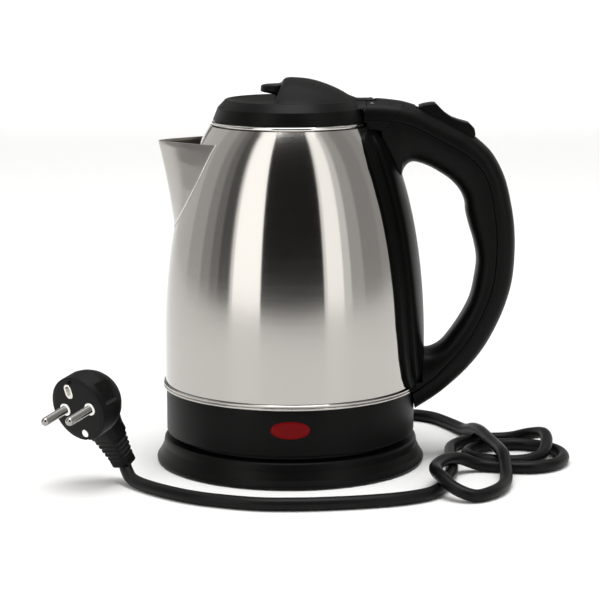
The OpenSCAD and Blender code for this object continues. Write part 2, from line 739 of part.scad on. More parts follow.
module handle_cover() {
    color(black) difference() {
        skin([for (s = grip_fine) grip_ring(s, 1)]);
        translate([0, -30, 100]) cube([neck_end + gap, 60, 140]);
        rocker_place() translate([-21.6, -slot_half, -1.5]) cube([38.8, 2 * slot_half, 20]);
        rocker_place() translate([-4 - gap, -slot_half - 2.3 - gap, -12])
            cube([8 + 2 * gap, 2 * (slot_half + 2.3 + gap), 14.2 + gap]);
    }
}

rocker_pin_r = 1.25;

module rocker_pin() {
    color(steel) rocker_place() rotate([90, 0, 0])
        cylinder(r = rocker_pin_r, h = 2 * slot_half + 4, center = true);
}

module switch_rocker() {
    color(black) rocker_place() difference() {
        rotate([90, 0, 0]) linear_extrude(rocker_w, center = true)
            polygon([[-19.7, 7.2], [-17.5, 9.4], [-14.4, 11.8], [-12.2, 12.8], [-9, 11.7], [-5.5, 10.4],
                [-1, 9.4], [2.6, 9.3], [7.4, 10.4], [11, 10.7], [14, 9.6], [16.6, 6.6], [14.6, 3.2],
                [3.2, 1], [2.4, -2.2], [0, -3.2], [-2.4, -2.2], [-3.2, 1], [-17.4, 3.4]]);
        rotate([90, 0, 0]) cylinder(r = rocker_pin_r + fit, h = 60, center = true);
    }
}

// Carries the rocker's pin and holds the steam switch below it
module switch_frame() {
    half = slot_half + 2.3;
    color(soft_black) rocker_place() difference() {
        union() {
            translate([-9, -half, -5.6]) cube([18, 2 * half, 1.6]);
            for (s = [-1, 1]) translate([-4, s * (half + slot_half) / 2 - (half - slot_half) / 2, -5])
                cube([8, half - slot_half, 7.2]);
        }
        rotate([90, 0, 0]) cylinder(r = rocker_pin_r + 0.02, h = 60, center = true);
    }
}

// Bimetal switch that turns the kettle off when steam reaches it
module steam_switch() {
    half = slot_half + 2.1;
    color([0.85, 0.85, 0.82]) rocker_place() difference() {
        translate([-9, -half, -10.8]) cube([18, 2 * half, 5]);
        translate([0, 0, -11]) cylinder(r = 6, h = 2);
    }
}

// ---- Hinge ----

module hinge_axis(r, half, shift = 0) {
    translate([hinge_x, 0, hinge_z]) rotate([90, 0, 0]) cylinder(r = r, h = 2 * half, center = true);
}

knuckle_half = 8.5;

module neck_section(grow) {
    h = neck_z - strap_top - 2;
    translate([0, strap_top + 2]) polygon(concat(
        [[neck_half + grow, 0]],
        [for (a = [0 : 10 : 180]) [neck_half * (a < 90 ? 1 : a > 90 ? -1 : 0) * pow(abs(cos(a)), 0.5),
            h * 0.34 + h * 0.66 * pow(sin(a), 0.7)]],
        [[-neck_half - grow, 0]]));
}

module hinge_block() {
    low = strap_top + 2;
    color(black) difference() {
        union() {
            difference() {
                translate([lid_r - 3, 0, 0]) rotate([90, 0, 90]) linear_extrude(neck_end - lid_r + 3)
                    neck_section(0);
                translate([0, 0, low - 1]) cylinder(r = lid_r + 0.7, h = lid_z + lid_band - low + 1.2);
                rotate([90, 0, 0]) linear_extrude(60, center = true)
                    polygon([[0, hinge_z - 4], [lid_r - 0.1, hinge_z - 4], [lid_r - 0.1, hinge_z - 0.4],
                        [lid_r + 1.4, hinge_z + 3], [0, hinge_z + 3]]);
                translate([0, 0, low - 1]) cylinder(r = jug_r(low) + 0.4, h = mouth_z - low + 1 + gap);
            }
        }
        translate([hinge_x - 20, -knuckle_half - gap, hinge_z - knuckle_r - slide_gap])
            cube([20, 2 * (knuckle_half + gap), 30]);
        hinge_axis(knuckle_r + slide_gap, knuckle_half + gap);
        translate([hinge_x, -knuckle_half - gap, hinge_z]) cube([knuckle_r + slide_gap, 2 * (knuckle_half + gap), 30]);
        hinge_axis(pin_r + 0.02, neck_half - 1.2);
        translate([lid_r + 7.6, -6, low - 1]) cube([4, 12, 8]);
    }
}

module hinge_pin() {
    color(steel) hinge_axis(pin_r, neck_half - 1.4);
}

// ---- Lid ----

hump_end = lid_r - 4.9;

// Crest height of the grip above the table along X
crest_points = [[-5, 219.8], [-3.6, 222.4], [-1, 223.5], [5, 223.4], [12, 222.3], [20, 219.8],
    [28, 216.2], [34, 213.4], [39.5, 211.6]];
crest_line = [for (p = crest_points) [p.x * hump_end / 39.5, p.y]];

// One section of the lid's fairing across X
function hump_ring(p, steps = 12) = let (
    rim = lid_r - lid_lean - 0.5,
    reach = sqrt(pow(rim, 2) - pow(min(abs(p.x), rim - 1.4), 2)),
    foot = lid_z + lid_band + 0.2,
    spread = max(0, min(1, (p.x + 8) / 16)),
    half = 15 + (reach - 15) * spread)
    concat([[p.x, half, foot - 2]],
        [for (i = [0 : steps]) let (t = i / steps * 2 - 1,
            lift = pow(1 - pow(abs(t), 2.1), 0.86))
            [p.x, -t * half, foot + (p.y + crest_h - 24.3 - foot) * lift]],
        [[p.x, -half, foot - 2]]);

module lid_shell_outline(drop, in) {
    polygon([[0, lid_z], [lid_r - in - 0.6, lid_z], [lid_r - in, lid_z + 0.8], [lid_r - lid_lean - in, lid_z + lid_band],
        [lid_top_r - in * 0.6, lid_top_z - drop], [lid_top_r - 2.4 - in, lid_top_z - drop],
        [lid_top_r - 6, lid_top_z - 1 - drop], [0, lid_top_z - 1.6 - drop]]);
}

module finger_tab() {
    z = lid_z + crest_h - 7.9;
    intersection() {
        rotate([90, 0, 0]) linear_extrude(40, center = true)
            polygon([[-tab_len, z + 0.4], [-tab_len + 0.5, z + tab_t - 0.6], [-tab_len + 1.6, z + tab_t],
                [-7, z + tab_t], [-4, z + tab_t + 1], [2, z + tab_t + 4], [2, z - 6], [-4, z - 3.6],
                [-9, z - 1.2], [-tab_len + 1, z - 0.2]]);
        translate([0, 0, z - 10]) linear_extrude(40) union() {
            translate([-tab_len + 10, 0]) circle(r = 10);
            translate([-tab_len + 10, -10]) square([30, 20]);
        }
    }
}

module lid_cover() {
    shell = 2;
    color(black) difference() {
        union() {
            difference() {
                rotate_extrude() lid_shell_outline(0, 0);
                translate([-6, 0, lid_top_z + 26]) sphere(r = 29.4);
            }
            skin([for (p = reversed(crest_line)) hump_ring(p)]);
            finger_tab();
            hinge_axis(knuckle_r, knuckle_half);
            for (a = [60 : 120 : 300]) at_angle(a, lid_screw_r, lid_z - liner_deep + wall + gap)
                cylinder(r = 3, h = 12);
            translate([hinge_x - 10, -knuckle_half, hinge_z - 2.4]) cube([10, 2 * knuckle_half, 4.6]);
            intersection() {
                translate([32, 0, 0]) rotate([90, 0, 90]) linear_extrude(lid_r - 32.7) intersection() {
                    translate([0, -0.4]) neck_section(0);
                    translate([-40, lid_z + 5]) square([80, 20]);
                }
                cylinder(r = lid_r - 0.4, h = 260);
            }
        }
        difference() {
            translate([0, 0, -shell]) rotate_extrude() lid_shell_outline(0.4, shell);
            for (a = [60 : 120 : 300]) at_angle(a, lid_screw_r, lid_z - liner_deep + wall + gap)
                cylinder(r = 3, h = 20);
        }
        for (a = [60 : 120 : 300]) at_angle(a, lid_screw_r, lid_z - liner_deep) cylinder(r = 1.42, h = 9);
        hinge_axis(pin_r + fit, 30);
    }
}

liner_r = mouth_r - wall / 2 - roll_r - 2.2;
liner_deep = 6.4;
lid_screw_r = 30;

// Steel cup inside the lid
module lid_liner() {
    deep = liner_deep;
    color(steel) difference() {
        translate([0, 0, lid_z - deep]) rotate_extrude() polygon([[0, 0], [liner_r - 1.4, 0],
            [liner_r, 1.4], [liner_r, deep - gap], [liner_r - wall, deep - gap],
            [liner_r - wall, 1.6], [liner_r - 1.8, wall], [0, wall]]);
        for (a = [60 : 120 : 300]) at_angle(a, lid_screw_r, lid_z - deep - 1) cylinder(r = 1.5, h = 4);
    }
}

module lid_seal() {
    color([0.6, 0.6, 0.58]) difference() {
        translate([0, 0, lid_z - 3.4]) rotate_extrude() polygon([[liner_r + fit, 0], [liner_r + 0.9, 0.4],
            [liner_r + 1.5, 1.2], [liner_r + 0.9, 2], [liner_r + 0.9, 3.2], [liner_r + fit, 3.2]]);
    }
}

module lid_screws() {
    color(steel) for (a = [60 : 120 : 300]) at_angle(a, lid_screw_r, lid_z - liner_deep - 1.25)
        screw(1.4, 2.6, 6, 1.2);
}

base_cover();
base_plate();
base_feet();
base_screws();
power_hub();
hub_contacts();
cord_gland();
cord();
plug_body();
plug_boot();
plug_pins();
plug_earth_clips();
steel_jug();
mouth_ring();
spout();
spout_filter();
bead_ring();
skirt();
skirt_bottom();
bottom_screws();
heating_plate();
heat_spreader();
heating_element();
thermostat();
jug_contacts();
lamp_lens();
lamp_holder();
handle_strap();
handle_inner();
handle_cover();
handle_screws();
hinge_block();
hinge_pin();
switch_frame();
steam_switch();
rocker_pin();
switch_rocker();
lid_cover();
lid_liner();
lid_seal();
lid_screws();
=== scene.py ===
import json
import math

import bmesh
import bpy
from mathutils import Matrix, Vector


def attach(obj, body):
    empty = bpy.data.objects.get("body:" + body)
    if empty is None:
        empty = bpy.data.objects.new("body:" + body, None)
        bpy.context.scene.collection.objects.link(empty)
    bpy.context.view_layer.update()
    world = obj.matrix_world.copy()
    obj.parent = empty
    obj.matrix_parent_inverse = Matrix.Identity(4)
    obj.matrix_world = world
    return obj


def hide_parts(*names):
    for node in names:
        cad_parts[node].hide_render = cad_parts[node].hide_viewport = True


mm = 0.001
alongX = Matrix.Rotation(math.radians(90), 4, "Y")
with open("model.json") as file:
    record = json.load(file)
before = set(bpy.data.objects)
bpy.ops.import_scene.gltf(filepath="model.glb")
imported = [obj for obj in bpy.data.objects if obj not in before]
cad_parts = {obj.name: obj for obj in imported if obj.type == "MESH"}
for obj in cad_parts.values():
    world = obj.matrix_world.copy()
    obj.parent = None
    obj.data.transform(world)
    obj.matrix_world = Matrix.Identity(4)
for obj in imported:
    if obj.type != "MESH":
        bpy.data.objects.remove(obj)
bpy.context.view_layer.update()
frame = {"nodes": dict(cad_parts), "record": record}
nodes = frame["nodes"]
print("frame loaded")


# ---- Camera ----

camera = bpy.data.cameras.new("camera")
camera.lens = 126.1
camera.sensor_width = 36
camera.clip_end = 60
cameraObject = bpy.data.objects.new("camera", camera)
cameraObject.location = (0, -1.2079, 0.3113)
cameraObject.rotation_euler = (math.radians(79.8), 0, math.radians(-0.27))
bpy.context.collection.objects.link(cameraObject)
bpy.context.scene.camera = cameraObject


# ---- Shader values ----

class Wave:
    # A value that flows through a material; sums and products of it become nodes
    def __init__(self, tree, socket):
        self.tree = tree
        self.socket = socket

    def join(self, kind, a, b):
        node = self.tree.nodes.new("ShaderNodeMath")
        node.operation = kind
        for slot, value in zip(node.inputs, (a, b)):
            if isinstance(value, Wave):
                self.tree.links.new(value.socket, slot)
            else:
                slot.default_value = value
        return Wave(self.tree, node.outputs[0])

    def __add__(self, other):
        return self.join("ADD", self, other)

    def __radd__(self, other):
        return self.join("ADD", other, self)

    def __sub__(self, other):
        return self.join("SUBTRACT", self, other)

    def __mul__(self, other):
        return self.join("MULTIPLY", self, other)


class Finish:
    # A material: one Principled shader and the nodes that feed it
    def __init__(self, name, colour, roughness, metallic=0.0, **sockets):
        self.material = bpy.data.materials.new(name)
        self.material.use_nodes = True
        self.tree = self.material.node_tree
        self.shader = self.tree.nodes["Principled BSDF"]
        self.put("Base Color", (*colour, 1.0))
        self.put("Roughness", roughness)
        self.put("Metallic", metallic)
        for key, value in sockets.items():
            self.put(key.replace("_", " "), value)

    def put(self, socket, value, node=None):
        slot = (node or self.shader).inputs[socket]
        if isinstance(value, Wave):
            self.tree.links.new(value.socket, slot)
        else:
            slot.default_value = value

    def node(self, kind, feeds=None, output=0):
        node = self.tree.nodes.new("ShaderNode" + kind)
        for key, value in (feeds or {}).items():
            self.put(key, value, node)
        return Wave(self.tree, node.outputs[output])

    def place(self, scale):
        where = self.node("TexCoord", output="Object")
        return self.node("Mapping", {"Vector": where, "Scale": scale})

    def noise(self, scale, detail, stretch=(1, 1, 1), rough=0.5):
        feeds = {"Vector": self.place(stretch), "Scale": scale, "Detail": detail, "Roughness": rough}
        return self.node("TexNoise", feeds)

    def bump(self, height, strength, distance):
        self.put("Normal", self.node("Bump", {"Height": height, "Strength": strength, "Distance": distance}))


# ---- Materials ----

def satinPlastic(name, colour, roughness, grain, strength, shine=0.14):
    # Moulded plastic with a fine grain and broad, faint changes of sheen
    plastic = Finish(name, colour, roughness, Specular_IOR_Level=shine)
    fine = plastic.noise(grain, 2.0)
    broad = plastic.noise(26, 3.0)
    plastic.put("Roughness", roughness + (broad - 0.5) * 0.10 + (fine - 0.5) * 0.06)
    plastic.bump(fine, strength, 0.00012)
    return plastic.material


def brushed(name, colour, roughness, stretch, strength, smear=0.0):
    # Metal with fine lines; smear draws its reflections out upwards and downwards
    metal = Finish(name, colour, roughness, 1.0, Anisotropic=smear, Anisotropic_Rotation=0.25)
    lines = metal.noise(900, 4.0, stretch, 0.6)
    cloud = metal.noise(14, 4.0)
    metal.put("Roughness", roughness + (lines - 0.5) * 0.05 + (cloud - 0.5) * 0.05)
    metal.bump(lines, strength, 0.00005)
    return metal.material


blackPlastic = satinPlastic("blackPlastic", (0.0022, 0.0022, 0.0021), 0.4, 2600, 0.10, 0.1)
glossBlack = satinPlastic("glossBlack", (0.0022, 0.0022, 0.0021), 0.3, 2600, 0.05, 0.04)
matteBlack = satinPlastic("matteBlack", (0.02, 0.02, 0.02), 0.6, 1800, 0.15)
plugRubber = satinPlastic("plugRubber", (0.003, 0.003, 0.003), 0.5, 2200, 0.12)
cordSheath = satinPlastic("cordSheath", (0.0036, 0.0036, 0.0036), 0.4, 1500, 0.10)
greyRubber = satinPlastic("greyRubber", (0.07, 0.07, 0.07), 0.75, 900, 0.25)
silicone = satinPlastic("silicone", (0.5, 0.5, 0.47), 0.5, 900, 0.1)
whitePlastic = satinPlastic("whitePlastic", (0.78, 0.77, 0.72), 0.5, 900, 0.1)
brushedSteel = brushed("brushedSteel", (0.45, 0.433, 0.412), 0.12, (0.02, 0.02, 1.4), 0.05, smear=0.92)
polishedSteel = brushed("polishedSteel", (0.6, 0.585, 0.56), 0.08, (0.02, 0.02, 1.0), 0.02)
satinSteel = brushed("satinSteel", (0.6, 0.59, 0.57), 0.26, (1, 1, 1), 0.06)
screwSteel = brushed("screwSteel", (0.55, 0.55, 0.54), 0.24, (1, 1, 1), 0.05)
nickel = brushed("nickel", (0.74, 0.72, 0.68), 0.10, (1, 1, 1), 0.03)
# Nickel darkened with painted shade, standing in for the pins' reflection of the plug's dark face
shadedPinNickel = brushed("shadedPinNickel", (0.36, 0.35, 0.33), 0.12, (1, 1, 1), 0.03)
# Rough steel for the spout's inside; its dark colour is painted shade, on top of the real unpolished finish
shadedRoughSteel = brushed("shadedRoughSteel", (0.16, 0.15, 0.14), 0.5, (1, 1, 1), 0.08)
frostedNickel = brushed("frostedNickel", (0.9, 0.89, 0.86), 0.42, (1, 1, 1), 0.05)
brass = brushed("brass", (0.72, 0.55, 0.25), 0.25, (1, 1, 1), 0.05)
aluminium = brushed("aluminium", (0.78, 0.78, 0.79), 0.3, (1, 1, 1), 0.05)
elementMetal = brushed("elementMetal", (0.33, 0.32, 0.31), 0.45, (1, 1, 1), 0.1)
redLens = Finish("redLens", (0.15, 0.0035, 0.0045), 0.2, Specular_IOR_Level=0.05).material

slotMaterials = {
    "black_plastic": blackPlastic, "matte_black": matteBlack, "grey_rubber": greyRubber,
    "brushed_steel": brushedSteel, "polished_steel": polishedSteel, "satin_steel": satinSteel,
    "screw_steel": screwSteel, "nickel": nickel, "brass": brass, "aluminium": aluminium,
    "element_metal": elementMetal, "white_plastic": whitePlastic, "red_lens": redLens,
    "cord_sheath": cordSheath, "plug_rubber": plugRubber, "silicone": silicone}

for part in frame["record"]["subparts"]:
    mesh = nodes[part["node"]].data
    mesh.materials.clear()
    mesh.materials.append(slotMaterials[part["material_slot"]])
print("materials made")


# ---- Shapes, in millimetres ----

def curveThrough(points, steps):
    # Catmull-Rom line through points of any dimension
    line = []
    for i in range(len(points) - 1):
        a, b = points[max(i - 1, 0)], points[i]
        c, d = points[i + 1], points[min(i + 2, len(points) - 1)]
        for k in range(steps):
            t = k / steps
            line.append(tuple(0.5 * (2 * q + (r - p) * t + (2 * p - 5 * q + 4 * r - s) * t ** 2
                                     + (3 * q - p - 3 * r + s) * t ** 3)
                              for p, q, r, s in zip(a, b, c, d)))
    return line + [tuple(points[-1])]


def rounded(points, steps=4, loop=False):
    # Corners (x, y, radius) turned into arcs
    line = []
    for i, corner in enumerate(points):
        here = Vector(corner[:2])
        radius = corner[2] if len(corner) > 2 else 0
        if not radius or (not loop and i in (0, len(points) - 1)):
            line.append(tuple(here))
            continue
        back = Vector(points[i - 1][:2]) - here
        on = Vector(points[(i + 1) % len(points)][:2]) - here
        half = back.angle(on) / 2
        run = min(radius / math.tan(half), 0.49 * back.length, 0.49 * on.length)
        radius = run * math.tan(half)
        middle = here + (back.normalized() + on.normalized()).normalized() * (radius / math.sin(half))
        first = here + back.normalized() * run - middle
        last = here + on.normalized() * run - middle
        start = math.atan2(first.y, first.x)
        turn = (math.atan2(last.y, last.x) - start + math.pi) % (2 * math.pi) - math.pi
        for k in range(steps + 1):
            a = start + turn * k / steps
            line.append((middle.x + radius * math.cos(a), middle.y + radius * math.sin(a)))
    return line


def addLathe(bm, profile, segments=160, loop=True):
    ring = [bm.verts.new((x * mm, 0, z * mm)) for x, z in profile]
    edges = [bm.edges.new(pair) for pair in zip(ring, ring[1:] + (ring[:1] if loop else []))]
    bmesh.ops.spin(bm, geom=ring + edges, cent=(0, 0, 0), axis=(0, 0, 1), angle=2 * math.pi,
                   steps=segments, use_merge=True)
    bmesh.ops.remove_doubles(bm, verts=bm.verts, dist=1e-6)


def addLoft(bm, rings, ends=True, loop=True):
    rows = [[bm.verts.new(Vector(p) * mm) for p in ring] for ring in rings]
    for a, b in zip(rows, rows[1:]):
        for k in range(len(a) if loop else len(a) - 1):
            n = (k + 1) % len(a)
            bm.faces.new((a[k], a[n], b[n], b[k]))
    if ends:
        bm.faces.new(rows[0])
        bm.faces.new(rows[-1])


def addBox(bm, low, high):
    size = Vector(high) - Vector(low)
    where = Matrix.Translation((Vector(low) + size / 2) * mm) @ Matrix.Diagonal((*(size * mm), 1))
    return bmesh.ops.create_cube(bm, size=1, matrix=where)["verts"]


def addCylinder(bm, at, radius, length, turn=Matrix.Identity(4), segments=48):
    # Along +Z from `at`, before the turn
    where = Matrix.Translation(Vector(at) * mm) @ turn @ Matrix.Translation((0, 0, length / 2 * mm))
    bmesh.ops.create_cone(bm, cap_ends=True, segments=segments, radius1=radius * mm, radius2=radius * mm,
                          depth=length * mm, matrix=where)


def addPlaced(bm, part, place):
    # Adds a second shape to bm at its place
    part.transform(place)
    mesh = bpy.data.meshes.new("part")
    part.to_mesh(mesh)
    part.free()
    bm.from_mesh(mesh)
    bpy.data.meshes.remove(mesh)


def keep(bm, name, material, body=None, angle=38):
    # Turns the shape into an object that rides on a body, with its faces outwards
    bmesh.ops.recalc_face_normals(bm, faces=bm.faces)
    if all(edge.is_manifold for edge in bm.edges) and bm.calc_volume(signed=True) < 0:
        bmesh.ops.reverse_faces(bm, faces=bm.faces)
    mesh = bpy.data.meshes.new(name)
    bm.to_mesh(mesh)
    bm.free()
    shade(mesh, angle)
    mesh.materials.append(material)
    thing = bpy.data.objects.new(name, mesh)
    bpy.context.collection.objects.link(thing)
    if body:
        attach(thing, body)
    return thing


def shade(mesh, angle):
    mesh.shade_smooth()
    mesh.set_sharp_from_angle(angle=math.radians(angle))


def combine(thing, tool, kind="DIFFERENCE", angle=38):
    # Cuts one mesh with another and removes the tool
    change = thing.modifiers.new("change", "BOOLEAN")
    change.operation = kind
    change.solver = "EXACT"
    change.object = tool
    result = bpy.data.meshes.new_from_object(thing.evaluated_get(bpy.context.evaluated_depsgraph_get()))
    thing.modifiers.clear()
    old = thing.data
    thing.data = result
    result.name = old.name
    bpy.data.objects.remove(tool)
    shade(result, angle)


def boxTool(low, high):
    bm = bmesh.new()
    addBox(bm, low, high)
    return keep(bm, "tool", blackPlastic)


def roundTool(at, radius, length, turn=Matrix.Identity(4), segments=48):
    bm = bmesh.new()
    addCylinder(bm, at, radius, length, turn, segments)
    return keep(bm, "tool", blackPlastic)


def loftTool(rings):
    bm = bmesh.new()
    addLoft(bm, rings)
    return keep(bm, "tool", blackPlastic)


def sideTool(outline):
    # An outline of (x, z) drawn out along Y past both sides of the handle
    return loftTool([[(x, y, z) for x, z in outline] for y in (-30, 30)])


# ---- Mains lead ----

# The route lies at low on the table and at top where the lead crosses itself
cord = dict(radius=3.6, floor=3.7, over=11.0, glandTip=93.6, glandAngle=math.radians(55), glandZ=7.2)
low, top = cord["floor"], cord["over"]
glandEnd = (cord["glandTip"] * math.cos(cord["glandAngle"]), cord["glandTip"] * math.sin(cord["glandAngle"]),
            cord["glandZ"])
bootEnd = (-93.69, -55.52, 10.64)
route = [
    glandEnd, (61, 85, 4.6), (69, 90, low), (80, 90, low), (91, 82, low), (100, 66, low), (107, 48, 4.6),
    (111, 32, 9), (114, 16, top), (117, -2, top), (120, -20, top), (122, -38, top), (122, -54, 7),
    (120, -72, low), (113, -90, low), (101, -101, low), (90, -98, 7), (83, -87, top), (81, -69, top),
    (87, -52, top), (97, -40, top - 2), (109, -36, 4.2), (125, -39, low), (140, -40, low), (152, -33, low),
    (159, -19, low), (158, -3, low), (149, 9, low), (136, 14, low), (121, 12, low), (109, 4, low),
    (104, -8, low), (108, -19, low), (120, -25, low), (134, -25, low), (146, -18, 5), (151, -4, 9),
    (151, 11, top), (144, 23, 8), (132, 28, 4.2), (117, 27, low), (104, 20, low), (96, 8, low),
    (94, -10, low), (93, -28, low), (92, -46, low), (88, -64, low), (84, -82, low), (76, -96, low),
    (62, -105, low), (44, -111, low), (24, -115, low), (4, -117, low), (-18, -116, low), (-40, -109, low),
    (-54, -102, low), (-66, -93, low), (-76, -83.5, low), (-83.5, -74.5, low), (-88.9, -66.6, 4.4),
    (-92, -60, 7.1), bootEnd]
line = curveThrough(route, 6)
length = sum((Vector(b) - Vector(a)).length for a, b in zip(line, line[1:]))
print("lead", round(length), "mm")

cordCurve = bpy.data.curves.new("mainsLead", "CURVE")
cordCurve.dimensions = "3D"
cordCurve.bevel_depth = cord["radius"] * mm
cordCurve.bevel_resolution = 7
cordCurve.use_fill_caps = True
spline = cordCurve.splines.new("POLY")
spline.points.add(len(line) - 1)
for point, place in zip(spline.points, line):
    point.co = (*(Vector(place) * mm), 1)
spline.use_smooth = True
cordCurve.materials.append(cordSheath)
mainsLead = bpy.data.objects.new("mainsLead", cordCurve)
bpy.context.collection.objects.link(mainsLead)
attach(mainsLead, "base")
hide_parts("cord")


# ---- Jug ----

jug = dict(r=73, wall=0.8, bodyZ=48, bellyZ=70, mouthZ=199, shoulderIn=48.2, shoulderUp=141, roll=1.2)


def jugR(z):
    # Straight up to the belly, then a quarter of an ellipse towards the mouth
    if z <= jug["bellyZ"]:
        return jug["r"]
    rise = (z - jug["bellyZ"]) / jug["shoulderUp"]
    return jug["r"] - jug["shoulderIn"] * (1 - math.sqrt(1 - rise ** 2))


def jugSide(z0, z1, out, steps):
    return [(jugR(z0 + (z1 - z0) * i / steps) + out, z0 + (z1 - z0) * i / steps) for i in range(steps + 1)]


mouthR = jugR(jug["mouthZ"] - jug["roll"])
jugTop = jug["mouthZ"] - 2 * jug["roll"] - 0.05
spout = dict(top=187.6, foot=138, reach=76, half=30, weight=4.5, levels=40, steps=40)

bm = bmesh.new()
addLathe(bm, [(jug["r"], jug["bodyZ"]), (jug["r"], 59)]
         + jugSide(jug["bellyZ"], jugTop, 0, 56)
         + jugSide(jug["bellyZ"], jugTop, -jug["wall"], 56)[::-1]
         + [(jug["r"] - jug["wall"], jug["bodyZ"])], 224)
jugBody = keep(bm, "jugBody", brushedSteel, "kettle")
# The window behind the spout
half, windowTop, foot = spout["half"] - 6, spout["top"] - 4, spout["foot"] + 14
window = [(-3, foot), (3, foot), (half - 5, windowTop - 13), (half, windowTop - 3), (half - 3, windowTop),
          (3 - half, windowTop), (-half, windowTop - 3), (5 - half, windowTop - 13)]
combine(jugBody, loftTool([[(x, y, z) for y, z in window] for x in (-90, -30)]))
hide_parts("steel_jug")

bm = bmesh.new()
rollR, rollZ = mouthR - jug["wall"] / 2 - 0.5, jug["mouthZ"] - jug["roll"]
addLathe(bm, [(rollR + jug["roll"] * math.cos(a), rollZ + jug["roll"] * math.sin(a))
              for a in (k * math.pi / 10 for k in range(20))], 200)
mouthRoll = keep(bm, "mouthRoll", polishedSteel, "kettle")
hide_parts("mouth_ring")
print("jug made")


# ---- Spout ----

def seamHalf(z):
    # Half the spout's width where it meets the jug
    middle = spout["foot"] + 41
    t = min(1, max(0, (middle - z) / (middle - spout["foot"])))
    return spout["half"] * math.sqrt(1 - t * t)


def noseX(z):
    t = (z - spout["foot"]) / (spout["top"] - spout["foot"])
    start = jugR(spout["foot"]) + 0.1
    return start + (spout["reach"] - start) * (0.62 * t + 0.38 * t * t)


def spoutLine(z, inset):
    # The spout's level line, a conic from one seam round the nose to the other
    half = max(0.5, seamHalf(z) - inset * 1.2)
    root = math.sqrt(jugR(z) ** 2 - half * half)
    nose = max(noseX(z) - inset, root + 0.02)
    weight = spout["weight"]
    apex = (nose * (1 + weight) - root) / weight
    points = []
    for i in range(spout["steps"] + 1):
        t = i / spout["steps"]
        a, b, c = (1 - t) ** 2, 2 * weight * t * (1 - t), t * t
        s = a + b + c
        points.append((-(a * root + b * apex + c * root) / s, (a * half - c * half) / s, z))
    return points


levels = [spout["foot"] + (spout["top"] - spout["foot"]) * (i / spout["levels"]) ** 1.3
          for i in range(spout["levels"] + 1)]
lip = 0.4
outside = [spoutLine(z, lip * max(0, 1 + (z - levels[-1]) / lip) ** 2) for z in levels]
rim = [[(x, y, z + lift - lip) for x, y, z in spoutLine(levels[-1], inset)]
       for inset, lift in ((0.06, 0.22), (0.22, 0.36), (0.4, 0.4), (0.58, 0.36), (0.74, 0.22))]
inside = [spoutLine(z, jug["wall"]) for z in levels[::-1]]
bm = bmesh.new()
addLoft(bm, outside + rim + inside[:2], ends=False, loop=False)
spoutShell = keep(bm, "spoutShell", brushedSteel, "kettle", 50)
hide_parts("spout")
# The spout's inside is rough steel darkened with painted shade
bm = bmesh.new()
addLoft(bm, inside[1:], ends=False, loop=False)
spoutLining = keep(bm, "spoutLining", shadedRoughSteel, "kettle", 50)
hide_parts("spout")


def seamLoft(bm, side, shift, out, wide):
    # A strip of oval section along one side's seam
    seam = [Vector(spoutLine(z, 0)[side]) for z in levels]
    rings = []
    for i, here in enumerate(seam):
        ahead = (seam[min(i + 1, len(seam) - 1)] - seam[max(i - 1, 0)]).normalized()
        level = Vector((here.x, here.y, 0)).normalized()
        across = ahead.cross(level).normalized()
        if across.x < 0:
            across = -across
        place = here + across * shift
        if shift:
            onJug = jugR(place.z) / math.hypot(place.x, place.y)
            place = Vector((place.x * onJug, place.y * onJug, place.z))
        rings.append([place + level * (out * math.cos(a)) + across * (wide * math.sin(a))
                      for a in (2 * math.pi * k / 12 for k in range(12))])
    addLoft(bm, rings)


# The weld is a raised bead, with a thin dark strip of painted shade beside it along the jug
bm = bmesh.new()
for side in (0, -1):
    seamLoft(bm, side, 0, 0.62, 0.8)
spoutSeam = keep(bm, "spoutSeam", polishedSteel, "kettle", 60)
bm = bmesh.new()
for side in (0, -1):
    seamLoft(bm, side, 1.05, 0.12, 0.28)
seamShadeStrip = keep(bm, "seamShadeStrip", elementMetal, "kettle", 60)
print("spout made")


# ---- Bead, skirt and lamp ----

bead = dict(r=74.4, z=44.4, h=3.4, groove=0.9)
skirt = dict(r=72.5, wall=2.4, z=17.9, lampZ=33.2, lampW=22.2, lampH=10, wireZ=38, wireR=4)
bm = bmesh.new()
r, z, g = bead["r"], bead["z"], bead["groove"]
addLathe(bm, rounded([
    (skirt["r"] - 4, z), (r - g, z, 0.3), (r, z + 0.4, 0.3), (r, z + 1.3, 0.25), (r - g, z + 1.7, 0.1),
    (r, z + 2.1, 0.25), (r, z + bead["h"] - 0.5, 0.3), (r - g, z + bead["h"], 0.3),
    (skirt["r"] - 4, z + bead["h"])], 4, True), 200)
beadBand = keep(bm, "beadBand", brushedSteel, "kettle")
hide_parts("bead_ring")


def stadium(width, height, steps=14):
    # A slot's outline, with round ends
    run, r = (width - height) / 2, height / 2
    return [(s * run + r * math.cos(a), r * math.sin(a))
            for s, start in ((1, -90), (-1, 90))
            for a in (math.radians(start + 180 * k / steps) for k in range(steps + 1))]


def lensOval(width, height, steps=56, power=0.92):
    # An ellipse, a little fuller at the corners
    line = []
    for k in range(steps):
        across, up = math.cos(2 * math.pi * k / steps), math.sin(2 * math.pi * k / steps)
        line.append((math.copysign(abs(across) ** power, across) * width / 2,
                     math.copysign(abs(up) ** power, up) * height / 2))
    return line


bm = bmesh.new()
r, z = skirt["r"], skirt["z"]
skirtTop = bead["z"] - 0.2
addLathe(bm, rounded([
    (r - 0.6, z, 0.3), (r, z + 0.8, 0.8), (r, skirtTop, 0.35), (r - skirt["wall"], skirtTop, 0.2),
    (r - skirt["wall"], z)], 4, True), 200)
skirtShell = keep(bm, "skirtShell", blackPlastic, "kettle")
lampHole = lensOval(skirt["lampW"] + 0.2, skirt["lampH"] + 0.2)
combine(skirtShell, loftTool([[(x, -y, skirt["lampZ"] + v) for x, v in lampHole] for y in (r - 8, r + 2)]))
# The switch's wires pass from the skirt into the handle
combine(skirtShell, roundTool((r - 6, 0, skirt["wireZ"]), skirt["wireR"], 12, alongX))
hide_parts("skirt")

bm = bmesh.new()
rings = []
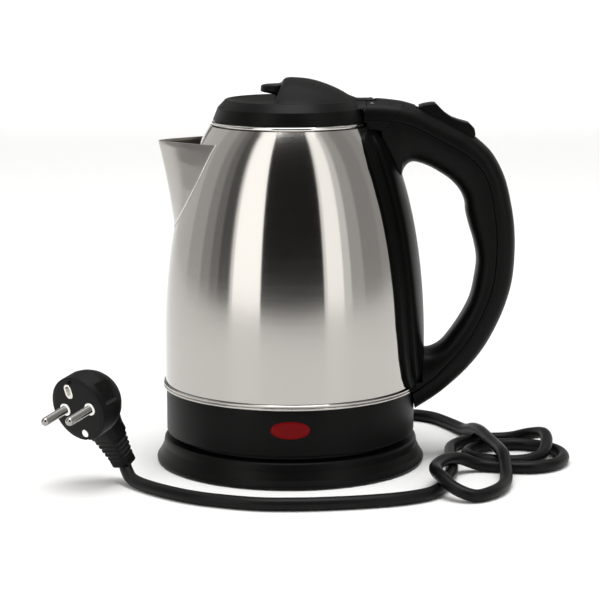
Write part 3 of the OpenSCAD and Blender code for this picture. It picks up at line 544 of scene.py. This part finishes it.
# How far each ring is drawn in, and how far it stands out of the skirt
lensCurve = ((0, -3.4), (0, -0.1), (0.12, 0.18), (0.4, 0.32), (1.2, 0.4), (2.2, 0.44), (3.4, 0.48),
             (4.4, 0.5))
for shrink, out in lensCurve:
    outline = lensOval(skirt["lampW"] - 2 * shrink, skirt["lampH"] - 2 * shrink)
    rings.append([(x, -(math.sqrt(r * r - x * x) + out), skirt["lampZ"] + v) for x, v in outline])
addLoft(bm, rings)
lampLens = keep(bm, "lampLens", redLens, "kettle", 50)
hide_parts("lamp_lens")
print("skirt made")


# ---- Power base ----

base = dict(r=78.6, topR=73.7, h=14.8, wall=2.2, hubR=16.5)
r, t, h, w = base["r"], base["topR"], base["h"], base["wall"]
bm = bmesh.new()
addLathe(bm, rounded([
    (base["hubR"] + 0.2, h - w), (base["hubR"] + 0.2, h + 1.4, 0.3), (base["hubR"] + 2.4, h + 1.4, 0.6),
    (base["hubR"] + 4.4, h, 1), (t, h, 1.9), (t + 0.7, h - 5, 2), (r - 2.2, 5.4, 3), (r, 2.2, 1.6),
    (r - 0.4, 0.8, 0.3), (r - w, 0.6, 0.2), (r - w, 2.2, 1), (r - w - 2.2, 5.6, 2), (t - w + 0.6, h - 5, 1),
    (t - w - 1, h - w, 1)], 5, True), 200)
baseShell = keep(bm, "baseShell", blackPlastic, "base")
# The lead's way out through the housing
outwards = Matrix.Rotation(cord["glandAngle"], 4, "Z")
combine(baseShell, roundTool(outwards @ Vector((r - 12, 0, cord["glandZ"])), 4.6, 20, outwards @ alongX))
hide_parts("base_cover")
print("base made")


# ---- Handle ----

# Stations from the neck round to the foot: outer edge (x, z), inner edge (x, z) and half the width
grip = [
    (50, 211.5, 56, 160, 16.4), (60.4, 210.6, 63, 160, 16), (66, 209.6, 65, 170.4, 15.6),
    (74, 207, 69.8, 175.3, 15.2), (83.5, 202.4, 78, 173.6, 14.8), (93, 197.4, 86, 169.4, 14.4),
    (102.5, 192.5, 92.8, 164.6, 14.2), (110.5, 186.5, 98, 158.7, 14), (117.6, 178.8, 100.8, 152.4, 14),
    (124, 166, 101.6, 146, 14), (128, 150, 103.6, 138, 14), (130, 136, 106.3, 129.4, 14),
    (130.3, 121, 108.2, 118.6, 13.8), (129, 106, 107, 107, 13.6), (125.5, 92.5, 104.6, 96, 13.6),
    (120, 79, 99.8, 86, 13.6), (112.5, 65.6, 93.6, 76.4, 13.8), (103, 53.8, 88, 69.6, 14.4),
    (92, 43.6, 82, 66.2, 15.2), (82.6, 36.6, 76, 66, 16.2), (73, 30.6, 66, 68, 17.4)]
handle = dict(shell=11.6, wall=2.4, seam=0.2, power=0.72, lip=0.55, steps=22, neckFoot=195)
neckSeam = [(54.5, handle["neckFoot"]), (66.5, 211), (71.3, 217)]
stations = curveThrough(grip, 6)


def arch(half, depth, steps):
    # Half of a superellipse
    line = []
    for i in range(steps + 1):
        a = math.radians(-90 + 180 * i / steps)
        side = math.copysign(abs(math.sin(a)) ** handle["power"], a)
        line.append((depth * abs(math.cos(a)) ** handle["power"], half * side))
    return line


def gripRing(station, side):
    # One section of a half shell: side 1 is the outer cover, -1 the inner half
    outer, inner = Vector((station[0], 0, station[1])), Vector((station[2], 0, station[3]))
    across = outer - inner
    span = across.length
    across.normalize()
    depth = (handle["shell"] if side > 0 else span - handle["shell"]) - handle["seam"] / 2
    start = outer - across * (handle["shell"] - side * handle["seam"] / 2)
    half = station[4]
    section = arch(half, depth, handle["steps"])
    rest = arch(half - handle["wall"], depth - handle["wall"], handle["steps"])[::-1]
    # Both lips of the parting line are rounded
    section = [(0, -half, handle["lip"])] + section[1:-1] + [(0, half, handle["lip"])]
    # The inner half has a tongue behind the parting line, so nothing shows through it
    face = half - handle["wall"]
    tongue = [(0, face), (-1, face - 0.1), (-1, face - 0.7), (0, face - 0.75)] if side < 0 else [(0, face)]
    section = rounded(section + tongue + rest[1:-1] + [(u, -v) for u, v in tongue[::-1]], 3, True)
    return [start + across * (side * p[0]) + Vector((0, p[1], 0)) for p in section]


def jugSpace():
    # The strap, the bead and the skirt, as one turned shape
    out, topZ = 5.4, 196.5
    skirtR, beadR, foot = skirt["r"] + 0.2, bead["r"] + 0.2, skirt["z"] - 1
    profile = [(0, foot), (skirtR, foot), (skirtR, bead["z"] - 0.2), (beadR, bead["z"] - 0.2),
               (beadR, jug["bodyZ"]), (jug["r"] + out, jug["bodyZ"])]
    profile += jugSide(jug["bellyZ"], topZ, out, 30) + [(0, topZ)]
    bm = bmesh.new()
    addLathe(bm, profile, 160)
    return keep(bm, "tool", blackPlastic)


def neckSpace(foot):
    # The neck meets the grip along a slanting seam
    line = [(x + 0.1, z) for x, z in neckSeam]
    return sideTool([(10, foot), (line[0][0], foot)] + line + [(line[-1][0], 240), (10, 240)])


bm = bmesh.new()
addLoft(bm, [gripRing(s, -1) for s in stations])
gripInner = keep(bm, "gripInner", blackPlastic, "kettle")
combine(gripInner, jugSpace())
combine(gripInner, neckSpace(handle["neckFoot"] - 0.2))
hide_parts("handle_inner")

rocker = dict(at=(88.1, 0, 192), tilt=math.radians(28), w=16, gap=0.4)
rockerPlace = Matrix.Translation(Vector(rocker["at"]) * mm) @ Matrix.Rotation(rocker["tilt"], 4, "Y")

bm = bmesh.new()
addLoft(bm, [gripRing(s, 1) for s in stations])
gripCover = keep(bm, "gripCover", blackPlastic, "kettle")
combine(gripCover, neckSpace(100))
combine(gripCover, jugSpace())
bm = bmesh.new()
slotHalf = rocker["w"] / 2 + rocker["gap"]
addBox(bm, (-21.6, -slotHalf, -1.5), (17.2, slotHalf, 18.5))
bm.transform(rockerPlace)
combine(gripCover, keep(bm, "tool", blackPlastic))
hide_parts("handle_cover")
print("grip made")

rockerLine = rounded([
    (-19.7, 7.2, 0.6), (-17.5, 9.4, 2), (-14.4, 11.8, 3), (-12.2, 13, 2), (-8.6, 11.8, 5), (-4.8, 10.7, 8),
    (0, 10.1, 8), (5, 10.8, 8), (10.4, 12, 3), (14, 10.8, 2), (16.6, 7.6, 1), (14.6, 3.2), (3.2, 1),
    (2.4, -2.2, 1.5), (0, -3.2, 1.5), (-2.4, -2.2, 1.5), (-3.2, 1), (-17.4, 3.4)], 5, True)
bm = bmesh.new()
rows = []
# Both sides end in a soft edge
softEdge = ((8, 0.9), (7.9, 0.42), (7.62, 0.14), (7.2, 0))
for y, shrink in [(-y, shrink) for y, shrink in softEdge] + list(softEdge[::-1]):
    rows.append([(x * (1 - shrink / 18), y, z - (shrink * 0.9 if z > 3 else 0)) for x, z in rockerLine])
addLoft(bm, rows)
bm.transform(rockerPlace)
rockerKey = keep(bm, "rockerKey", blackPlastic, "switch", 44)
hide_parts("switch_rocker")


# ---- Strap between the jug and the handle ----

strap = dict(rim=2.2, pad=5.2, half=41, foot=jug["bodyZ"] + 0.1, top=194.6, steps=72, fade=8, edge=11.4)


def strapHalf(z):
    # Heights above the jug's foot, and shares of the full half width there
    shares = [(0.2, 0.74), (6, 0.84), (18, 0.93), (38, 1), (68, 1), (90, 0.98), (112, 0.94), (128, 0.88),
              (137, 0.8), (144, 0.7), (149, 0.5)]
    rise = z - jug["bodyZ"]
    for (a, wa), (b, wb) in zip(shares, shares[1:]):
        if rise <= b:
            return strap["half"] * (wa + (wb - wa) * max(0, rise - a) / (b - a))
    return strap["half"] * shares[-1][1]


def strapSection(z):
    # A flat rim with a groove, then a step up to the pad; (across, out) from the edge inwards
    fade = min(1, (z - strap["foot"] + 0.5) / strap["fade"], (strap["top"] - z + 0.5) / strap["fade"])
    flat = strap["rim"]
    pad = flat + (strap["pad"] - flat) * fade * (2 - fade)
    side = [(0, 0.1), (0, flat - 0.8), (0.25, flat - 0.25), (0.8, flat), (3.4, flat + 0.1),
            (3.8, flat - 0.35), (4.5, flat - 0.35), (4.9, flat + 0.1), (6.4, flat + 0.2),
            (6.5, pad - 1.1), (6.7, pad - 0.75), (7.2, pad - 0.6), (10, pad - 0.1), (strap["edge"], pad)]
    half = strapHalf(z)
    section = [(-half + u, v) for u, v in side]
    section += [((half - strap["edge"]) * (i / 10 - 1), pad) for i in range(1, 11)]
    return section + [(-u, v) for u, v in section[:-1][::-1]]


bm = bmesh.new()
rings = []
for k in range(strap["steps"] + 1):
    z = strap["foot"] + (strap["top"] - strap["foot"]) * k / strap["steps"]
    section, reach = strapSection(z), jugR(z)
    rings.append([((reach + v) * math.cos(math.asin(u / (reach + v))), u, z) for u, v in section])
addLoft(bm, rings)
strapShell = keep(bm, "strapShell", glossBlack, "kettle", 44)
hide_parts("handle_strap")
print("strap made")


# ---- Neck with the hinge ----

lid = dict(r=44.4, lean=2.7, topR=37.2, z=199.2, band=7.4, chamfer=4.8, tab=16, tabT=4)
lidTop = lid["z"] + lid["band"] + lid["chamfer"]
ridgeR = lid["r"] - lid["lean"]
hinge = dict(x=46.5, z=209.2, knuckle=2.4, half=8.5, gap=0.4, pin=1.1, pinHalf=12)
neckLine = curveThrough([
    (36, 211.7, 36, 186, 16.4), (44, 211.7, 44, 186, 16.4), (52, 211.5, 51, 182, 16.3),
    (60.4, 210.6, 57, 174, 16), (66, 209.6, 64, 171.5, 15.6), (74, 207, 70.5, 175.2, 15.2)], 6)


def neckRing(station, drop=0.0):
    # An arch with a fine line along its lower edge on each side
    outer, inner = Vector((station[0], 0, station[1] - drop)), Vector((station[2], 0, station[3]))
    across = (outer - inner).normalized()
    start = outer - across * handle["shell"]
    half = station[4] - drop
    side = [(-7, half), (-0.35, half), (-0.1, half - 0.3), (0.1, half - 0.3), (0.4, half - 0.01)]
    section = side + [(v, -u) for v, u in arch(half, handle["shell"], 40)[2:-2]]
    section += [(v, -u) for v, u in side[::-1]]
    return [start + across * v + Vector((0, u, 0)) for v, u in section]


lying = Matrix.Rotation(math.radians(90), 4, "X")
bm = bmesh.new()
addLoft(bm, [neckRing(s) for s in neckLine])
neck = keep(bm, "neck", blackPlastic, "kettle")
# The front follows the lid's rim and stands back at the top, where the lid's corner swings past
combine(neck, roundTool((0, 0, 180), lid["r"] + 2, 19.2, segments=160))
combine(neck, roundTool((0, 0, 198), lid["r"] + 0.7, 9.8, segments=160))
swing = 2.85
front = [(20, 206.2), (43.3, 206.2)]
front += [(hinge["x"] + swing * math.cos(a), hinge["z"] + swing * math.sin(a))
          for a in (math.radians(d) for d in range(206, 94, -8))]
combine(neck, sideTool(front + [(46.3, 213), (46.3, 220), (20, 220)]))
seam = [(x - 0.1, z) for x, z in neckSeam]
combine(neck, sideTool([(seam[0][0], 190)] + seam + [(90, 217), (90, 190)]))
combine(neck, boxTool((20, -30, 150), (90, 30, handle["neckFoot"])))
# The knuckle's room, open to the front and the top
roomHalf, roomR, roomTop = hinge["half"] + 0.2, hinge["knuckle"] + hinge["gap"], hinge["z"] + 30
combine(neck, roundTool((hinge["x"], roomHalf, hinge["z"]), roomR, 2 * roomHalf, lying))
combine(neck, boxTool((hinge["x"] - 20, -roomHalf, hinge["z"] - roomR), (hinge["x"], roomHalf, roomTop)))
combine(neck, boxTool((hinge["x"] - 1, -roomHalf, hinge["z"]), (hinge["x"] + roomR, roomHalf, roomTop)))
bm = bmesh.new()
addCylinder(bm, (hinge["x"], hinge["pinHalf"], hinge["z"]), hinge["pin"], 2 * hinge["pinHalf"], lying)
hingeRod = keep(bm, "hingeRod", screwSteel, "kettle")
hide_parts("hinge_pin")
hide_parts("hinge_block")
print("neck made")


# ---- Lid ----

bm = bmesh.new()
addLathe(bm, rounded([
    (0, lidTop - 3.6), (lid["topR"] - 14, lidTop - 3.0, 12), (lid["topR"] - 3.4, lidTop - 0.7, 4),
    (lid["topR"] - 1.6, lidTop, 0.7), (lid["topR"], lidTop, 1.4), (ridgeR, lid["z"] + lid["band"], 0.7),
    (lid["r"], lid["z"] + 0.7, 0.7), (lid["r"] - 0.5, lid["z"], 0.3), (lid["r"] - 3, lid["z"], 0.3),
    (ridgeR - 2.4, lid["z"] + lid["band"] - 1), (lid["topR"] - 2, lidTop - 3), (lid["topR"] - 14, lidTop - 5),
    (0, lidTop - 5.6)], 5), 192, loop=False)
lidShell = keep(bm, "lidShell", blackPlastic, "lid")

# The fairing's middle line, from the front back to the hinge
crest = [(-5, 219.8), (-3.6, 222.4), (-1, 223.6), (5, 223.5), (12, 222.6), (20, 220.3), (28, 216.9),
         (34, 213.6), (39.5, 211.6)]
hump = dict(foot=206.8, inside=0.5, sweep=5.5, steps=44)


def humpRing(x, z, lower=0.0):
    # The fairing's front edge sweeps forwards on its way down to the rim
    ring = []
    for i in range(hump["steps"] + 1):
        t = i / hump["steps"] * 2 - 1
        along = x - hump["sweep"] * t * t * max(0, 1 - (x + 5) / 22) ** 2
        reach = math.sqrt((ridgeR - hump["inside"]) ** 2 - min(abs(along), ridgeR - 4) ** 2)
        rise = (z - hump["foot"]) * max(0, 1 - abs(t) ** 2.1) ** 0.86
        ring.append((along, -t * reach, hump["foot"] + rise * (1 - lower) - 2 * lower))
    below = [(*point[:2], hump["foot"] - 2) for point in (ring[0], ring[-1])]
    return below[:1] + ring + below[1:]


bm = bmesh.new()
addLoft(bm, [humpRing(-5.2, 219, 1)] + [humpRing(x, z) for x, z in curveThrough(crest, 5)])
lidHump = keep(bm, "lidHump", blackPlastic, "lid", 50)

# The finger tab, round in front, in slices along Y
bm = bmesh.new()
rows = []
tabZ, tabHalf, slices = 215.6, 10, 18
tabTop = tabZ + lid["tabT"]
for k in range(-slices, slices + 1):
    y = tabHalf * math.sin(math.radians(90 * k / slices))
    start = -lid["tab"] - 1 + tabHalf - math.sqrt(max(0, tabHalf ** 2 - y * y))
    outline = [(start, tabZ + 0.4, 0.5), (start + 0.3, tabTop - 0.6, 0.8), (start + 1.6, tabTop, 1.2),
               (max(-7, start + 2.2), tabTop, 2), (max(-4, start + 2.6), tabTop + 1, 2), (2, tabTop + 3),
               (2, tabZ - 6), (max(-4, start + 2.0), tabZ - 3.6, 1), (max(-9, start + 1.4), tabZ - 1.2, 1),
               (start + 1, tabZ - 0.2, 0.4)]
    rows.append([(x, y, z) for x, z in rounded(outline, 4, True)])
addLoft(bm, rows)
lidTab = keep(bm, "lidTab", blackPlastic, "lid", 50)

# The lid's back rises to the height of the neck and carries the hinge's knuckle
bm = bmesh.new()
addLoft(bm, [neckRing((x, 211.75, x, 186, 16.4), 0.05) for x in (30, 37, 44.5)])
lidBack = keep(bm, "lidBack", blackPlastic, "lid", 50)
combine(lidBack, roundTool((hinge["x"], 20, hinge["z"]), 3.2, 40, lying, 72), angle=50)
combine(lidBack, boxTool((20, -30, 170), (60, 30, 206.4)), angle=50)
bm = bmesh.new()
addCylinder(bm, (hinge["x"], hinge["half"], hinge["z"]), hinge["knuckle"], 2 * hinge["half"], lying)
addBox(bm, (37, -hinge["half"], hinge["z"] - 2.3), (hinge["x"], hinge["half"], hinge["z"] + 2.2))
lidKnuckle = keep(bm, "lidKnuckle", blackPlastic, "lid")
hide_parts("lid_cover")
print("lid made")


# ---- Plug ----

# The plug's own frame looks along +X out of its face, with Z up towards the earth contact
plug = dict(at=(-117.5, -76.3, 46.4), r=18.8, deep=23, pitch=19, pinR=2.4, pinL=19, pinIn=9.8, collar=3.4,
            earthY=-3, earthZ=10.6, bootAt=(-16.5, 0, -20), lean=14, neck=3, boot=23)
plugPlace = Matrix.Translation(Vector(plug["at"]) * mm)
for axis, turn in (("Z", 233.2), ("Y", 13), ("X", 9)):
    plugPlace = plugPlace @ Matrix.Rotation(math.radians(turn), 4, axis)
bootPlace = (plugPlace @ Matrix.Translation(Vector(plug["bootAt"]) * mm) @ Matrix.Rotation(math.pi, 4, "X")
             @ Matrix.Rotation(math.radians(-plug["lean"]), 4, "Y"))


def pinPlace(side, x):
    return plugPlace @ Matrix.Translation(Vector((x, side * plug["pitch"] / 2, 0)) * mm) @ alongX


def earthLine(long, wide):
    return [(u + plug["earthY"], v + plug["earthZ"]) for v, u in stadium(long, wide)]


def blockLine(x, y, r, steps=6):
    # A rectangle with rounded corners
    return [(sx * (x / 2 - r) + r * math.cos(a), sy * (y / 2 - r) + r * math.sin(a))
            for sx, sy, start in ((1, 1, 0), (-1, 1, 90), (-1, -1, 180), (1, -1, 270))
            for a in (math.radians(start + 90 * k / steps) for k in range(steps + 1))]


def addBlock(bm, x, y, r, z0, z1, edge):
    # A block with rounded sides and softened ends, along Z
    rings = []
    for z, shrink in ((z0, edge), (z0 + edge * 0.3, edge * 0.3), (z0 + edge, 0), (z1 - edge, 0),
                      (z1 - edge * 0.3, edge * 0.3), (z1, edge)):
        rings.append([(u, v, z) for u, v in blockLine(x - 2 * shrink, y - 2 * shrink, r)])
    addLoft(bm, rings)


def toolPiece(bm, place):
    bm.transform(place)
    return keep(bm, "tool", plugRubber)


bm = bmesh.new()
r, d = plug["r"], plug["deep"]
addLathe(bm, rounded([
    (0, 0), (r - 2.2, 0, 0.2), (r - 2.0, 0.15, 0.2), (r, 0.2, 0.7), (r, d - 12, 3), (r - 1, d - 8, 4),
    (r - 3, d - 4, 4), (r - 6.4, d, 2), (0, d)], 5), 128, loop=False)
bm.transform(plugPlace @ alongX.inverted())
plugShell = keep(bm, "plugShell", plugRubber, "base")
bm = bmesh.new()
addLoft(bm, [[(x, u, v) for u, v in earthLine(8.5, 5.3)] for x in (-8, 1)])
combine(plugShell, toolPiece(bm, plugPlace))
# Finger recesses in both sides, and the seats of the pins' collars
for side in (1, -1):
    bm = bmesh.new()
    addBlock(bm, 12, 13.5, 1, -4, 4, 0.2)
    recessPlace = Matrix.Translation(Vector((-10.2, side * (r - 1), 7)) * mm) @ lying
    combine(plugShell, toolPiece(bm, plugPlace @ recessPlace))
    bm = bmesh.new()
    addCylinder(bm, (-0.85, side * plug["pitch"] / 2, 0), plug["collar"] + 0.25, 3, alongX)
    combine(plugShell, toolPiece(bm, plugPlace))
# A blind hole, and the key contact's well with its slot to the edge
keyZ = 4.2 - r
for at, radius in (((-3, 0, r - 3), 1.7), ((-6, 0, keyZ), 2.3)):
    bm = bmesh.new()
    addCylinder(bm, at, radius, 7, alongX, 32)
    combine(plugShell, toolPiece(bm, plugPlace))
bm = bmesh.new()
addBox(bm, (-6, -1, -r - 1), (1, 1, keyZ))
combine(plugShell, toolPiece(bm, plugPlace))
bm = bmesh.new()
addBlock(bm, 14, 20, 4, -12, plug["neck"], 1)
combine(plugShell, toolPiece(bm, bootPlace), "UNION")
bm = bmesh.new()
addBlock(bm, 13, 19, 5, -19, 10.5, 2.6)
bm.transform(Matrix.Translation(Vector((-17.2, 0, 0)) * mm))
combine(plugShell, toolPiece(bm, plugPlace), "UNION")
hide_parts("plug_body")

bm = bmesh.new()
first = plug["neck"] + 0.05
pitch = (plug["boot"] - first - 5) / 5
addBlock(bm, 9.4, 10, 2, first, plug["boot"] - 2, 0.1)
for i in range(5):
    ribFoot, ribTop = first + i * pitch + (1.4 if i else 0), first + (i + 1) * pitch
    addBlock(bm, 12 - i * 0.5, 17 - i * 0.9, 2.4, ribFoot, ribTop, 0.35)
addBlock(bm, 10, 12.6, 2.4, plug["boot"] - 5.4, plug["boot"], 0.6)
bm.transform(bootPlace)
plugSleeve = keep(bm, "plugSleeve", plugRubber, "base", 45)
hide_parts("plug_boot")

# The pins' darker nickel is painted shade in place of their reflection of the plug's face
bm = bmesh.new()
r, tip = plug["pinR"], plug["pinIn"] + plug["pinL"] - plug["pinR"]
dome = [(r * math.cos(a), tip + r * math.sin(a)) for a in (math.radians(9 * k) for k in range(10))]
for side in (1, -1):
    pin = bmesh.new()
    addLathe(pin, [(0, 0), (2, 0), (2, 9.2), (r, 9.2)] + dome + [(0, tip + r)], 48, loop=False)
    addPlaced(bm, pin, pinPlace(side, -plug["pinIn"]))
plugProngs = keep(bm, "plugProngs", shadedPinNickel, "base", 45)
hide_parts("plug_pins")

bm = bmesh.new()
outer, inner = earthLine(8.4, 5.2), earthLine(6.2, 3.0)
chamfered = [(u * 0.985 - 0.045, v * 0.99 + 0.1) for u, v in outer]
rings = ((-7.9, outer), (-0.3, outer), (0.02, chamfered), (0.02, inner), (-0.2, inner), (-7, inner))
addLoft(bm, [[(x, u, v) for u, v in ring] for x, ring in rings])
bm.transform(plugPlace)
plugEarth = keep(bm, "plugEarth", nickel, "base")

bm = bmesh.new()
for side in (1, -1):
    collar = bmesh.new()
    addLathe(collar, rounded([
        (r + 0.05, -0.9), (plug["collar"] + 0.2, -0.9), (plug["collar"] + 0.2, 0.35, 0.3),
        (r + 0.05, 0.5, 0.1)], 4, True), 48)
    addPlaced(bm, collar, pinPlace(side, 0))
keyContact = bmesh.new()
addCylinder(keyContact, (-5.9, 0, keyZ), 2.2, 5.7, alongX, 32)
addPlaced(bm, keyContact, plugPlace)
plugCollars = keep(bm, "plugCollars", frostedNickel, "base", 45)
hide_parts("plug_pins")
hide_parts("plug_earth_clips")
plugPieces = [plugShell, plugSleeve, plugProngs, plugEarth, plugCollars]
# The plug stays out of the jug's reflection
for piece in plugPieces:
    piece.visible_glossy = False
print("plug made")


# ---- Surroundings ----

def glowCard(name, corners, colour, strength):
    mesh = bpy.data.meshes.new(name)
    mesh.from_pydata(corners, [], [(0, 1, 2, 3)])
    card = bpy.data.objects.new(name, mesh)
    bpy.context.collection.objects.link(card)
    look = Finish(name, (0, 0, 0), 1.0, Specular_IOR_Level=0.0)
    look.put("Emission Color", (*colour, 1.0))
    look.put("Emission Strength", strength)
    mesh.materials.append(look.material)


def standing(name, start, end, distance, low, high, colour, strength):
    # A card that stands round the kettle between two bearings from the camera's side
    (ax, ay), (bx, by) = ((math.sin(a) * distance, -math.cos(a) * distance)
                          for a in (math.radians(start), math.radians(end)))
    glowCard(name, [(ax, ay, low), (bx, by, low), (bx, by, high), (ax, ay, high)], colour, strength)


floorMesh = bpy.data.meshes.new("floor")
floorMesh.from_pydata([(-14, -6, 0), (14, -6, 0), (14, 24, 0), (-14, 24, 0)], [], [(0, 1, 2, 3)])
floor = bpy.data.objects.new("floor", floorMesh)
bpy.context.collection.objects.link(floor)
floorMesh.materials.append(Finish("floor", (0.93, 0.93, 0.925), 0.85, Specular_IOR_Level=0.1).material)

# Bearings, seen from the kettle, and brightness of the cards round it
cards = [(-150, -112, 0.8), (-112, -92, 0.62), (-92, -80, 0.42), (-80, -70, 0.26), (-70, -59, 0.13),
         (-59, -57, 0.4), (-57, -54, 1.3), (-54, -27, 2.2), (-27, 31, 0.012), (31, 34, 1.3), (34, 50, 1.9),
         (50, 58, 1.1), (58, 72, 0.62), (72, 95, 0.42), (95, 112, 0.5), (112, 150, 0.65)]
warmWhite = (1, 0.99, 0.97)
for index, (start, end, glow) in enumerate(cards):
    standing("card%d" % index, start, end, 2.4, 0.0, 5.0, warmWhite, glow)

# The card at the back is grey towards the kettle and white towards everything behind it
standing("backCard", 150, 210, 2.6, 0.4, 3.2, warmWhite, 0.25)
standing("backGlow", 149, 211, 2.64, 0.38, 3.22, (1, 1, 1), 1.1)

world = bpy.data.worlds.new("world")
bpy.context.scene.world = world
world.use_nodes = True
world.node_tree.nodes["Background"].inputs["Color"].default_value = (1, 1, 1, 1)
world.node_tree.nodes["Background"].inputs["Strength"].default_value = 1.1


def areaLight(name, place, aim, size, power):
    light = bpy.data.lights.new(name, "AREA")
    light.shape = "RECTANGLE"
    light.size, light.size_y = size
    light.energy = power
    lamp = bpy.data.objects.new(name, light)
    lamp.location = place
    lamp.rotation_euler = (Vector(aim) - Vector(place)).to_track_quat("-Z", "Y").to_euler()
    bpy.context.collection.objects.link(lamp)


areaLight("overhead", (0.1, -0.35, 2.5), (0, 0, 0), (1.6, 1.2), 38)
areaLight("behind", (0, 2.3, 2.6), (0, 2.3, 0), (4, 1.6), 26)
bpy.context.scene.view_settings.view_transform = "Standard"

print("scene ready")
